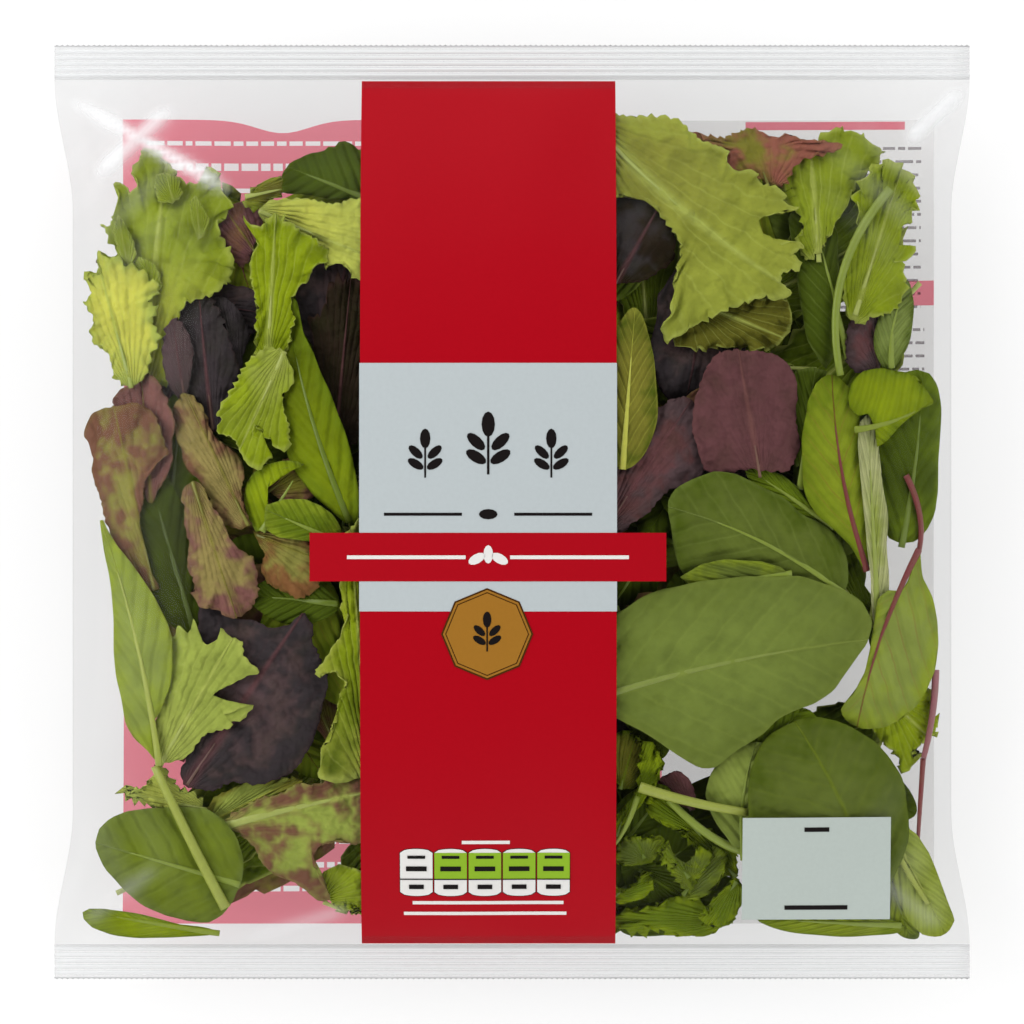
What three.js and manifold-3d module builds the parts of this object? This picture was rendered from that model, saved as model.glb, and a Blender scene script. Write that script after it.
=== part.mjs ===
// A sealed pillow bag of salad leaves, lying on its back with the printed front up.
// One tube of clear film is flattened and crimped shut across both ends. Gas and leaves fill it
// between the two seals, so that its sides are round and come in a little where it is fullest.
// Units are millimetres. X runs across the bag, Y from the bottom seal to the top seal and Z up.
// The origin is on the table, under the middle of the bag.
import * as THREE from "three";
import { mergeVertices } from "three/addons/utils/BufferGeometryUtils.js";
import Module from "manifold-3d";

// The flat tube and its seals
const FLAT_WIDTH = 250;
const BAG_LENGTH = 255.4;
const SEAL_LENGTH = 9.6;
const SEAL_LEVEL = 18;
const SEAL_THICKNESS = 0.6;
const RIB_COUNT = 5;
const RIB_PITCH = 1.6;
const RIB_RELIEF = 0.35;
const STEPS_PER_RIB = 6;
const TOOTH_COUNT = 172;
const TOOTH_DEPTH = 0.6;

// The filled body
const FRONT_RISE = 34;
const BACK_DROP = 25;
const SIDE_PULL_IN = 5;
const PULL_IN_RUN = 36;
const LENGTH_POWER = 2.5;
const SEAL_SLOPE_POWER = 0.75;
const SIDE_POWER = 2.4;

// Soft folds that run from each seal into the body, and the dents beside the four corners
const PUCKER_HEIGHT = 1.3;
const PUCKER_COUNT = 7;
const PUCKER_PEAK = 14;
const DENT_DEPTH = 2.4;
const DENT_RADIUS = 13;
const DENT_FROM_SIDE = 26;
const DENT_FROM_SEAL = 24;

// How finely the film is divided
const STEPS_ROUND = 80;
const STEPS_ALONG = 40;

const HALF_LENGTH = BAG_LENGTH / 2;
const HALF_BODY = HALF_LENGTH - SEAL_LENGTH;
const HALF_WIDTH = FLAT_WIDTH / 2;
const OVERLAP = 0.8;
const EDGE_INSET = 0.05;

const wasm = await Module();
wasm.setup();

// A closed three.js geometry as a solid that can be joined or cut.
function solidOf(geometry) {
  const bare = geometry.clone();
  bare.deleteAttribute("normal");
  bare.deleteAttribute("uv");
  const merged = mergeVertices(bare, 1e-4);
  return new wasm.Manifold(
    new wasm.Mesh({
      numProp: 3,
      vertProperties: new Float32Array(merged.attributes.position.array),
      triVerts: new Uint32Array(merged.index.array),
    }),
  );
}

// The finished solid as a three.js geometry.
function geometryOf(solid) {
  const mesh = solid.getMesh();
  const geometry = new THREE.BufferGeometry();
  geometry.setAttribute("position", new THREE.BufferAttribute(mesh.vertProperties, 3));
  geometry.setIndex(new THREE.BufferAttribute(mesh.triVerts, 1));
  geometry.computeVertexNormals();
  return geometry;
}

// Half the bag's width at a height y: full at the seals, and less where the tube is round.
function halfWidthAt(y) {
  const fromSeal = THREE.MathUtils.clamp((HALF_BODY - Math.abs(y)) / PULL_IN_RUN, 0, 1);
  return HALF_WIDTH - SIDE_PULL_IN * THREE.MathUtils.smoothstep(fromSeal, 0, 1);
}

// How full the tube is at a height y, from 0 at the seals to 1 in the middle.
function fullnessAt(y) {
  const share = Math.min(Math.abs(y) / HALF_BODY, 1);
  return Math.pow(1 - Math.pow(share, LENGTH_POWER), SEAL_SLOPE_POWER);
}

// Folds across the film below a seal: strongest a little way in, gone in the middle of the bag.
function puckerAt(x, y) {
  const run = HALF_BODY - Math.abs(y);
  const strength = (run / PUCKER_PEAK) * Math.exp(1 - run / PUCKER_PEAK);
  const phase = y > 0 ? 0.6 : 2.3;
  const turns = (PUCKER_COUNT * Math.PI * x) / FLAT_WIDTH;
  const wave = 0.6 * Math.cos(turns + phase) + 0.4 * Math.cos(1.7 * turns - 2 * phase);
  const inside = 1 - Math.pow(Math.abs(x) / halfWidthAt(y), 4);
  return PUCKER_HEIGHT * strength * wave * Math.max(inside, 0);
}

// The hollow beside each corner, where a round tube turns into a flat seal.
function dentAt(x, y) {
  const acrossGap = Math.abs(x) - (HALF_WIDTH - DENT_FROM_SIDE);
  const alongGap = Math.abs(y) - (HALF_BODY - DENT_FROM_SEAL);
  const apart = Math.hypot(acrossGap, alongGap) / DENT_RADIUS;
  return DENT_DEPTH * Math.exp(-apart * apart);
}

// A point of the film: turn goes round the tube from its right side, and y along the bag.
function filmPoint(turn, y) {
  const across = Math.cos(turn);
  const up = Math.sin(turn);
  const halfWidth = halfWidthAt(y) - EDGE_INSET;
  const x = halfWidth * Math.sign(across) * Math.pow(Math.abs(across), 2 / SIDE_POWER);
  const flat = (SEAL_THICKNESS / 2) * Math.abs(up);
  const full = fullnessAt(y) * Math.abs(up);
  const relief = (puckerAt(x, y) - dentAt(x, y)) * Math.min(full * 4, 1) * Math.abs(up);
  const front = SEAL_LEVEL + flat + FRONT_RISE * full + relief;
  const back = SEAL_LEVEL - flat - BACK_DROP * full - relief;
  return [x, y, up >= 0 ? front : back];
}

// The filled tube, from a cylinder whose every point is moved to its place on the film.
function filledBody() {
  const tube = new THREE.CylinderGeometry(1, 1, 2, STEPS_ROUND, STEPS_ALONG);
  const points = tube.attributes.position;
  for (let i = 0; i < points.count; i++) {
    const share = points.getY(i);
    const y = (HALF_BODY + OVERLAP) * Math.sin((share * Math.PI) / 2);
    const radius = Math.hypot(points.getX(i), points.getZ(i));
    const turn = Math.atan2(points.getZ(i), points.getX(i));
    const [x, , z] = filmPoint(turn, y);
    if (radius < 0.5) points.setXYZ(i, 0, y, SEAL_LEVEL);
    else points.setXYZ(i, x, y, z);
  }
  return solidOf(tube);
}

// The crimp's wavy section, drawn with its length along X and its thickness along Y.
function crimpSection() {
  const from = -OVERLAP;
  const ribStart = (SEAL_LENGTH - RIB_COUNT * RIB_PITCH) / 2;
  const line = [[from, 0], [ribStart, 0]];
  const steps = RIB_COUNT * STEPS_PER_RIB;
  for (let i = 1; i <= steps; i++) {
    const along = ribStart + (i * RIB_PITCH) / STEPS_PER_RIB;
    line.push([along, RIB_RELIEF * Math.sin((i * 2 * Math.PI) / STEPS_PER_RIB)]);
  }
  line.push([SEAL_LENGTH, 0]);
  const half = SEAL_THICKNESS / 2;
  const front = line.map(([along, rise]) => new THREE.Vector2(along, rise + half));
  const back = line.map(([along, rise]) => new THREE.Vector2(along, rise - half));
  return new THREE.Shape([...back, ...front.reverse()]);
}

// What the toothed knife leaves of the seal: a long rectangle with a zigzag outer edge.
function cutOutline() {
  const pitch = FLAT_WIDTH / TOOTH_COUNT;
  const outline = new THREE.Shape();
  outline.moveTo(-HALF_WIDTH, -2 * OVERLAP);
  outline.lineTo(HALF_WIDTH, -2 * OVERLAP);
  outline.lineTo(HALF_WIDTH, SEAL_LENGTH - TOOTH_DEPTH);
  for (let i = 0; i < TOOTH_COUNT; i++) {
    outline.lineTo(HALF_WIDTH - (i + 0.5) * pitch, SEAL_LENGTH);
    outline.lineTo(HALF_WIDTH - (i + 1) * pitch, SEAL_LENGTH - TOOTH_DEPTH);
  }
  return outline;
}

// One ribbed seal, lying along X with its outer edge towards +Y.
function crimpedSeal() {
  const strip = new THREE.ExtrudeGeometry(crimpSection(), {
    depth: FLAT_WIDTH,
    bevelEnabled: false,
  });
  const toBag = new THREE.Matrix4().makeBasis(
    new THREE.Vector3(0, 1, 0),
    new THREE.Vector3(0, 0, 1),
    new THREE.Vector3(1, 0, 0),
  );
  strip.applyMatrix4(toBag).translate(-HALF_WIDTH, 0, 0);
  const knife = new THREE.ExtrudeGeometry(cutOutline(), {
    depth: 4,
    bevelEnabled: false,
  });
  knife.translate(0, 0, -2);
  return solidOf(strip).intersect(solidOf(knife));
}

// The whole bag, cut off flat where it rests on the table.
function sealedBag() {
  const seal = crimpedSeal();
  const topSeal = seal.translate([0, HALF_BODY, SEAL_LEVEL]);
  const bottomSeal = seal.rotate([0, 0, 180]).translate([0, -HALF_BODY, SEAL_LEVEL]);
  const table = new THREE.BoxGeometry(2 * FLAT_WIDTH, 2 * BAG_LENGTH, BACK_DROP);
  table.translate(0, 0, -BACK_DROP / 2);
  return filledBody().add(topSeal).add(bottomSeal).subtract(solidOf(table));
}

const bag = new THREE.Mesh(
  geometryOf(sealedBag()),
  new THREE.MeshStandardMaterial({ color: 0x8a9a55, roughness: 0.25, metalness: 0 }),
);
bag.name = "bag";

const model = new THREE.Group();
model.add(bag);

export default model;
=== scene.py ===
import math

import bmesh
import bpy
import numpy as np
from mathutils import Matrix


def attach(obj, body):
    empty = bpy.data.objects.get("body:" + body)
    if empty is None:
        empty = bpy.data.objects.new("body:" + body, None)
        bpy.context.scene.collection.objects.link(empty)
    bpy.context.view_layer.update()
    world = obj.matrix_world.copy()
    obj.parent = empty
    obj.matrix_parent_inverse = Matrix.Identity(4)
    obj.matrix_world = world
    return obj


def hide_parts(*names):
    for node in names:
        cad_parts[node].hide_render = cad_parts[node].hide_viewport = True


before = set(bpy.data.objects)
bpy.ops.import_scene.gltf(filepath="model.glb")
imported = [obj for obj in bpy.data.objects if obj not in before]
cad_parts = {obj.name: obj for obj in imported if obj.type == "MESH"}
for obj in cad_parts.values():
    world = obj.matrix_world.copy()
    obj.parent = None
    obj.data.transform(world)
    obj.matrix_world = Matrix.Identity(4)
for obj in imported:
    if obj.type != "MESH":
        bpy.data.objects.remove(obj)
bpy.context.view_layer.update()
MM = 0.001

# The camera is far above the bag and looks straight down on its front, through a long lens.
# Its view is as wide as the photograph's at the height of the seals.
CAMERA_HEIGHT = 2500
SENSOR_WIDTH = 36
VIEW_WIDTH = 279.7
SEAL_LEVEL = 18

lens = bpy.data.cameras.new("camera")
lens.sensor_width = SENSOR_WIDTH
lens.lens = SENSOR_WIDTH * (CAMERA_HEIGHT - SEAL_LEVEL) / VIEW_WIDTH
lens.clip_end = 10
camera = bpy.data.objects.new("camera", lens)
camera.location = (0, 0, CAMERA_HEIGHT * MM)
bpy.context.scene.collection.objects.link(camera)
bpy.context.scene.camera = camera

# The film is one clear tube, laid flat, filled with leaves and gas, and shut by a crimp at each end.
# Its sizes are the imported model's, in millimetres, with the finer creases that the film has in between.
HALF_WIDTH = 125
HALF_LENGTH = 127.7
SEAL_LENGTH = 9.6
HALF_BODY = HALF_LENGTH - SEAL_LENGTH
SIDE_PULL_IN = 5
PULL_IN_RUN = 36
FRONT_RISE = 34
BACK_DROP = 25
LENGTH_POWER = 2.5
SEAL_SLOPE_POWER = 0.75
SIDE_POWER = 2.4
FLAT_GAP = 0.3
PUCKER_HEIGHT = 1.3
PUCKER_COUNT = 7
PUCKER_PEAK = 14
DENT_DEPTH = 2.4
DENT_RADIUS = 13
DENT_FROM_SIDE = 26
DENT_FROM_SEAL = 24
FRONT = 1
BACK = -1


def half_width_at(y):
    """Half the bag's width: full at the seals, and less where the tube is round."""
    run = np.clip((HALF_BODY - np.abs(y)) / PULL_IN_RUN, 0, 1)
    return HALF_WIDTH - SIDE_PULL_IN * run * run * (3 - 2 * run)


def fullness_at(y):
    """How full the tube is, from 0 at the seals to 1 in the middle."""
    share = np.minimum(np.abs(y) / HALF_BODY, 1)
    return (1 - share**LENGTH_POWER) ** SEAL_SLOPE_POWER


def pucker_at(x, y):
    """Soft folds that run from each seal into the body."""
    run = np.maximum(HALF_BODY - np.abs(y), 0)
    strength = run / PUCKER_PEAK * np.exp(1 - run / PUCKER_PEAK)
    phase = np.where(y > 0, 0.6, 2.3)
    turns = PUCKER_COUNT * math.pi * x / (2 * HALF_WIDTH)
    wave = 0.6 * np.cos(turns + phase) + 0.4 * np.cos(1.7 * turns - 2 * phase)
    inside = 1 - (np.abs(x) / half_width_at(y)) ** 4
    return PUCKER_HEIGHT * strength * wave * np.maximum(inside, 0)


def dent_at(x, y):
    """The hollow beside each corner, where the round tube turns into a flat seal."""
    across = np.abs(x) - (HALF_WIDTH - DENT_FROM_SIDE)
    along = np.abs(y) - (HALF_BODY - DENT_FROM_SEAL)
    return DENT_DEPTH * np.exp(-(across**2 + along**2) / DENT_RADIUS**2)


def film_height(x, y, side):
    """The height of the front or back film over the table."""
    out = np.clip(np.abs(x) / half_width_at(y), 0, 1)
    up = np.sqrt(1 - out**SIDE_POWER)
    full = fullness_at(y) * up
    relief = (pucker_at(x, y) - dent_at(x, y)) * np.minimum(full * 4, 1) * up
    swell = FRONT_RISE if side == FRONT else BACK_DROP
    height = SEAL_LEVEL + side * (FLAT_GAP * up + swell * full + relief)
    return np.maximum(height, 0)


# Sharp creases that the pull of the seals leaves in the front film, each from one point to another.
CREASES = (
    {"start": (-121, 113), "end": (-76, 87), "width": 1.7, "height": 1.1},
    {"start": (-92, 111), "end": (-114, 91), "width": 2.2, "height": 0.9},
    {"start": (-116, 108), "end": (-98, 70), "width": 3.0, "height": -0.7},
    {"start": (124, 116), "end": (107, 100), "width": 2.0, "height": 1.0},
    {"start": (118, 108), "end": (104, 76), "width": 3.0, "height": -0.6},
    {"start": (-118, -113), "end": (-96, -96), "width": 2.2, "height": 0.15},
    {"start": (-74, -117), "end": (-44, -108), "width": 2.0, "height": 0.3},
    {"start": (118, -114), "end": (98, -99), "width": 2.2, "height": 0.15},
)
CREASE_STARTS = 5
CREASE_ENDS = 6
# How white the film's painted highlights are on the creases and in the streaks by the corners; the lower
# streaks are weaker.
CREASE_PAINTED_GLARE = 0.75
STREAK_PAINTED_GLARE = 0.1
STREAK_LEAN = 0.8
STREAK_TURN = 0.42
STREAK_SWAY = 0.07
STREAK_MIDDLE = (108, 96)
STREAK_REACH = (16, 20)
LOWER_STREAKS = 0.35


def crease_shapes(x, y):
    """Each sharp crease's height in millimetres, with the share of it that stands at these places."""
    for crease in CREASES:
        start = np.array(crease["start"])
        run = np.array(crease["end"]) - start
        share = ((x - start[0]) * run[0] + (y - start[1]) * run[1]) / (run @ run)
        aside = ((x - start[0]) * run[1] - (y - start[1]) * run[0]) / math.hypot(*run)
        ends = np.clip(share * CREASE_STARTS, 0, 1) * np.clip((1 - share) * CREASE_ENDS, 0, 1)
        yield crease["height"], ends * np.exp(-((aside / crease["width"]) ** 2))


def crease_height(x, y):
    """How far the sharp creases stand out of the smooth film."""
    return sum(height * shape for height, shape in crease_shapes(x, y))


def painted_glare_at(x, y):
    """The film's painted highlights: white along its creases and in soft streaks beside them, by the
    corners.
    """
    aside = (np.abs(x) - STREAK_MIDDLE[0]) / STREAK_REACH[0]
    above = (np.abs(y) - STREAK_MIDDLE[1]) / STREAK_REACH[1]
    corner = np.exp(-(aside**2) - above**2) * np.where(y > 0, 1.0, LOWER_STREAKS)
    slanted = np.abs(x) + STREAK_LEAN * np.abs(y)
    streaks = 0.5 + 0.5 * np.sin(slanted * STREAK_TURN + 2 * np.sin(y * STREAK_SWAY))
    brightest_glare = np.zeros_like(x)
    for height, shape in crease_shapes(x, y):
        brightest_glare = np.maximum(brightest_glare, CREASE_PAINTED_GLARE * height * shape)
    return brightest_glare + STREAK_PAINTED_GLARE * corner * streaks


class Value:
    """One output of a material's nodes. Sums and products of these add their Math nodes."""

    def __init__(self, finish, socket):
        self.finish = finish
        self.socket = socket

    def __add__(self, other):
        return self.finish.maths("ADD", self, other)

    def __sub__(self, other):
        return self.finish.maths("SUBTRACT", self, other)

    def __rsub__(self, other):
        return self.finish.maths("SUBTRACT", other, self)

    def __mul__(self, other):
        return self.finish.maths("MULTIPLY", self, other)

    def __truediv__(self, other):
        return self.finish.maths("DIVIDE", self, other)

    def __pow__(self, other):
        return self.finish.maths("POWER", self, other)

    __radd__ = __add__
    __rmul__ = __mul__


class Finish:
    """A material whose nodes are written as expressions, or a sky that is given."""

    def __init__(self, name, sky=None):
        self.owner = sky or bpy.data.materials.new(name)
        self.owner.use_nodes = True
        self.tree = self.owner.node_tree
        self.tree.nodes.clear()

    def node(self, kind, settings, sockets):
        """Adds a node: its settings first, then the numbers, colours or links of its sockets."""
        made = self.tree.nodes.new(kind)
        for name, setting in settings.items():
            setattr(made, name, setting)
        for name, given in sockets.items():
            if isinstance(given, Value):
                self.tree.links.new(given.socket, made.inputs[name])
            else:
                made.inputs[name].default_value = given
        return made

    def value(self, kind, settings, sockets, output=0):
        """One output of a new node."""
        return Value(self, self.node(kind, settings, sockets).outputs[output])

    def maths(self, operation, first, second=0.0):
        return self.value("ShaderNodeMath", {"operation": operation}, {0: first, 1: second})

    def place(self):
        return self.value("ShaderNodeTexCoord", {}, {}, "Object")

    def attribute(self, name, output="Color"):
        return self.value("ShaderNodeAttribute", {"attribute_name": name}, {}, output)

    def soft_step(self, value, low, high):
        """From 0 at low to 1 at high, without corners."""
        sockets = {"Value": value, "From Min": low, "From Max": high}
        return self.value("ShaderNodeMapRange", {"interpolation_type": "SMOOTHSTEP"}, sockets)

    def noise(self, place, scale, detail=2.0):
        sockets = {"Vector": place, "Scale": scale, "Detail": detail}
        return self.value("ShaderNodeTexNoise", {}, sockets)

    def blend(self, share, first, second, how="MIX"):
        settings = {"data_type": "RGBA", "blend_type": how}
        return self.value("ShaderNodeMix", settings, {0: share, 6: first, 7: second}, 2)

    def bump(self, height, strength, distance):
        sockets = {"Height": height, "Strength": strength, "Distance": distance}
        return self.value("ShaderNodeBump", {}, sockets)

    def surface(self, shader, output="ShaderNodeOutputMaterial"):
        self.node(output, {}, {"Surface": shader})
        return self.owner


def colour(red, green, blue):
    """A colour as a screen shows it, from 0 to 255, as the light that it sends back."""
    shown = np.array((red, green, blue)) / 255
    light = np.where(shown > 0.04045, ((shown + 0.055) / 1.055) ** 2.4, shown / 12.92)
    return (*(float(part) for part in light), 1.0)


def clear_film(name, clearness, haze, gloss_roughness, ripple):
    """Clear film: it lets light straight through, shines, and is veiled white by its haze and by its
    painted highlights.
    """
    film_look = Finish(name)
    place = film_look.place()
    folds = film_look.noise(place, ripple, 1.0)
    normal = film_look.bump(folds, 0.35, 0.0006)
    clear = (clearness, clearness, clearness, 1)
    through = film_look.value("ShaderNodeBsdfTransparent", {}, {"Color": clear})
    white_haze_and_glare_sockets = {"Base Color": (0.9, 0.91, 0.92, 1), "Roughness": 0.5}
    white_haze_and_glare = film_look.value("ShaderNodeBsdfPrincipled", {}, white_haze_and_glare_sockets)
    # The white veil's share is the film's haze plus the painted highlights held in the stretch attribute.
    share = haze + film_look.attribute("stretch", "Fac")
    through_haze_and_glare = film_look.value("ShaderNodeMixShader", {}, {0: share, 1: through, 2: white_haze_and_glare})
    facing = film_look.value("ShaderNodeLayerWeight", {}, {"Blend": 0.5, "Normal": normal}, "Facing")
    shine = 0.007 + 0.5 * facing**5
    gloss_sockets = {"Roughness": gloss_roughness, "Normal": normal}
    gloss = film_look.value("ShaderNodeBsdfAnisotropic", {}, gloss_sockets)
    glossy = film_look.value("ShaderNodeMixShader", {}, {0: shine, 1: through_haze_and_glare, 2: gloss})
    return film_look.surface(glossy)


FILM_COLUMNS = {FRONT: 150, BACK: 90}
FILM_ROWS = 130
SEAL_OVERLAP = 0.8


def points_of(mesh):
    """The places of a mesh's vertices, one row each."""
    places = np.empty(len(mesh.vertices) * 3)
    mesh.vertices.foreach_get("co", places)
    return places.reshape(-1, 3)


def move_points(mesh, x, y, z):
    """Puts a mesh's vertices at places that are given in millimetres."""
    mesh.vertices.foreach_set("co", (np.column_stack((x, y, z)) * MM).ravel())
    mesh.update()


def film_sheet(side):
    """The front or back half of the tube, from a flat grid."""
    flat = bmesh.new()
    bmesh.ops.create_grid(flat, x_segments=FILM_COLUMNS[side], y_segments=FILM_ROWS, size=1)
    sheet = bpy.data.meshes.new("film_sheet")
    flat.to_mesh(sheet)
    flat.free()
    across, along = points_of(sheet)[:, :2].T
    y = (HALF_BODY + SEAL_OVERLAP) * np.sin(along * math.pi / 2)
    turned = np.sin(across * math.pi / 2)
    x = half_width_at(y) * np.sign(turned) * np.abs(turned) ** (2 / SIDE_POWER)
    z = film_height(x, y, side)
    if side == FRONT:
        z = z + crease_height(x, y)
    move_points(sheet, x, y, z)
    # The front film's painted highlights are kept as its stretch attribute; the back film has none.
    stretch = sheet.attributes.new("stretch", "FLOAT", "POINT")
    stretch.data.foreach_set("value", painted_glare_at(x, y) if side == FRONT else np.zeros_like(x))
    return sheet


def linked(name, mesh):
    """A new object with this mesh, at the origin, in the scene."""
    made = bpy.data.objects.new(name, mesh)
    bpy.context.scene.collection.objects.link(made)
    return made


def smooth(mesh):
    mesh.polygons.foreach_set("use_smooth", np.ones(len(mesh.polygons), dtype=bool))


def joined_film():
    """Both sheets as one closed skin, welded down their sides and shut at their ends."""
    skin = bmesh.new()
    # This layer carries the sheets' painted highlights.
    skin.verts.layers.float.new("stretch")
    skin.from_mesh(film_sheet(BACK))
    bmesh.ops.reverse_faces(skin, faces=skin.faces[:])
    skin.from_mesh(film_sheet(FRONT))
    bmesh.ops.remove_doubles(skin, verts=skin.verts[:], dist=0.02 * MM)
    open_edges = [edge for edge in skin.edges if edge.is_boundary]
    bmesh.ops.holes_fill(skin, edges=open_edges, sides=0)
    mesh = bpy.data.meshes.new("film")
    skin.to_mesh(mesh)
    skin.free()
    smooth(mesh)
    return mesh


film = linked("film", joined_film())
film.data.materials.append(clear_film("clear film", 0.93, 0.0, 0.12, 60.0))
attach(film, "root")
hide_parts("bag")

# Each end seal is both layers of film, pressed together between ribbed jaws and cut off by a
# toothed knife. The ribs run across the bag, and the teeth are as small as a comb's.
SEAL_COLUMNS = 43
TEETH_A_COLUMN = 4
SEAL_ROWS = 32
RIB_PITCH = 1.6
RIB_COUNT = 5
RIB_RELIEF = 0.35
# How white the painted highlight on the seal ribs' crests is.
RIB_PAINTED_HIGHLIGHT = 0.5
TOOTH_DEPTH = 0.6
SEAL_THICKNESS = 0.25
CUT = (HALF_LENGTH - 0.01) * MM
HALF_TURN = Matrix.Rotation(math.pi, 3, "Z")


def ribbed_seal(end):
    """One seal: a ribbed strip whose outer edge is a row of teeth."""
    strip = bmesh.new()
    rib_highlight_layer = strip.verts.layers.float.new("stretch")
    bmesh.ops.create_grid(strip, x_segments=SEAL_COLUMNS, y_segments=SEAL_ROWS, size=1)
    for point in strip.verts:
        along = (point.co.y + 1) / 2 * SEAL_LENGTH
        ribs = (along - (SEAL_LENGTH - RIB_COUNT * RIB_PITCH) / 2) / RIB_PITCH
        rise = RIB_RELIEF * math.sin(2 * math.pi * ribs) if 0 < ribs < RIB_COUNT else 0
        # Painted highlight: each rib's crest is whiter than its groove, so the ribs show as pale lines; it
        # is kept with the film's painted highlights.
        point[rib_highlight_layer] = RIB_PAINTED_HIGHLIGHT * (1 + rise / RIB_RELIEF) / 2
        point.co = (point.co.x * HALF_WIDTH * MM, (HALF_BODY + along) * MM, (SEAL_LEVEL + rise) * MM)
    cut_edge = [edge for edge in strip.edges if min(v.co.y for v in edge.verts) > CUT]
    bmesh.ops.subdivide_edges(strip, edges=cut_edge, cuts=2 * TEETH_A_COLUMN - 1)
    teeth = sorted((v for v in strip.verts if v.co.y > CUT), key=lambda v: v.co.x)
    for valley in teeth[::2]:
        valley.co.y -= TOOTH_DEPTH * MM
    bmesh.ops.triangulate(strip, faces=[face for face in strip.faces if len(face.verts) > 4])
    if end < 0:
        bmesh.ops.rotate(strip, verts=strip.verts[:], matrix=HALF_TURN)
    return strip


seals = bmesh.new()
for end in (1, -1):
    strip = ribbed_seal(end)
    part = bpy.data.meshes.new("seal_strip")
    strip.to_mesh(part)
    strip.free()
    seals.from_mesh(part)
seal_mesh = bpy.data.meshes.new("end_seals")
seals.to_mesh(seal_mesh)
seals.free()
smooth(seal_mesh)
end_seals = linked("end_seals", seal_mesh)
seal_wall = end_seals.modifiers.new("two layers of film", "SOLIDIFY")
seal_wall.thickness = SEAL_THICKNESS * MM
seal_wall.offset = 0
end_seals.data.materials.append(clear_film("pressed film", 0.93, 0.1, 0.3, 120.0))
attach(end_seals, "root")

# The print is ink on the film: a red band down the front with a pale panel, a banner, a gold badge,
# a row of portion panels and a date panel. The words are left out, and plain shapes take their place.
INK_THICKNESS = 0.04
INK_STEP = 2.5
LEAST_ARCH_STEPS = 8
SHARP_ANGLE = math.radians(40)


class Print:
    """Fields of ink that lie on one film. Each is a grid that is bent to the film."""

    def __init__(self, name, side):
        self.name = name
        self.side = side
        self.fields = []
        self.inks = []

    def ink(self, name):
        if name not in self.inks:
            self.inks.append(name)
        return self.inks.index(name)

    def field(self, ink, left, right, low, high, layer, arch=0.0, dip=None):
        """A rectangle of ink. arch rounds its ends outwards, and dip is a hollow in its top edge."""
        columns = max(2, round((right - left) / INK_STEP), LEAST_ARCH_STEPS if arch else 0)
        rows = max(1, round((high - low) / INK_STEP))
        shape = bmesh.new()
        bmesh.ops.create_grid(shape, x_segments=columns, y_segments=rows, size=1)
        for point in shape.verts:
            bow = arch * math.sqrt(max(1 - point.co.x**2, 0)) * point.co.y
            middle = ((left + right) / 2, (low + high) / 2)
            point.co.x = middle[0] + point.co.x * (right - left) / 2
            sag = 0
            if dip:
                apart = (point.co.x - dip["x"]) / dip["reach"]
                sag = dip["depth"] * (point.co.y + 1) / 2 * math.exp(-apart * apart)
            point.co.y = middle[1] + point.co.y * (high - low) / 2 + bow - sag
        self.keep(shape, ink, layer)

    def spot(self, ink, x, y, radius, corners, layer, turn=0.0, stretch=1.0, lean=0.0):
        """A round or cornered spot of ink. stretch makes it longer, and lean turns it."""
        shape = bmesh.new()
        bmesh.ops.create_circle(shape, cap_ends=True, cap_tris=True, segments=corners, radius=radius)
        bmesh.ops.subdivide_edges(shape, edges=shape.edges[:], cuts=2, use_grid_fill=True)
        for point in shape.verts:
            angle = math.atan2(point.co.y, point.co.x) + turn
            reach = math.hypot(point.co.x, point.co.y)
            across = reach * math.cos(angle) * stretch
            along = reach * math.sin(angle)
            point.co.x = x + across * math.cos(lean) - along * math.sin(lean)
            point.co.y = y + across * math.sin(lean) + along * math.cos(lean)
        self.keep(shape, ink, layer)

    def keep(self, shape, ink, layer):
        """Bends a finished flat shape to the film, with each layer a little off the one under it."""
        flat = bpy.data.meshes.new("ink")
        for face in shape.faces:
            face.material_index = self.ink(ink)
        shape.to_mesh(flat)
        shape.free()
        x, y = points_of(flat)[:, :2].T
        off = (layer + 1) * 2 * INK_THICKNESS
        crease = crease_height(x, y) if self.side == FRONT else 0
        move_points(flat, x, y, film_height(x, y, self.side) + crease + off)
        solid = bmesh.new()
        solid.from_mesh(flat)
        bmesh.ops.solidify(solid, geom=solid.faces[:], thickness=INK_THICKNESS * MM)
        solid.to_mesh(flat)
        solid.free()
        self.fields.append(flat)

    def piece(self, inks):
        """All the fields as one piece, with a material for each ink."""
        whole = bmesh.new()
        for flat in self.fields:
            whole.from_mesh(flat)
        mesh = bpy.data.meshes.new(self.name)
        whole.to_mesh(mesh)
        whole.free()
        smooth(mesh)
        mesh.set_sharp_from_angle(angle=SHARP_ANGLE)
        made = linked(self.name, mesh)
        for name in self.inks:
            made.data.materials.append(inks[name])
        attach(made, "root")
        return made


def printed_ink(name, shade, roughness=0.4, metallic=0.0, thin=0.0):
    """Glossy ink on film, with the soft ripples of the film under it."""
    ink = Finish(name)
    place = ink.place()
    mottle = ink.noise(place, 900.0)
    darker = tuple(0.93 * part for part in shade[:3]) + (1.0,)
    base = ink.blend(mottle, darker, shade)
    normal = ink.bump(ink.noise(place, 60.0, 1.0), 0.3, 0.0006)
    sockets = {
        "Base Color": base,
        "Roughness": roughness,
        "Metallic": metallic,
        "Normal": normal,
        "Specular IOR Level": 0.06,
    }
    solid = ink.value("ShaderNodeBsdfPrincipled", {}, sockets)
    if not thin:
        return ink.surface(solid)
    tint = tuple(math.sqrt(part) for part in shade)
    lit_from_behind = ink.value("ShaderNodeBsdfTransparent", {}, {"Color": tint})
    return ink.surface(ink.value("ShaderNodeMixShader", {}, {0: 1 - thin, 1: lit_from_behind, 2: solid}))


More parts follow.
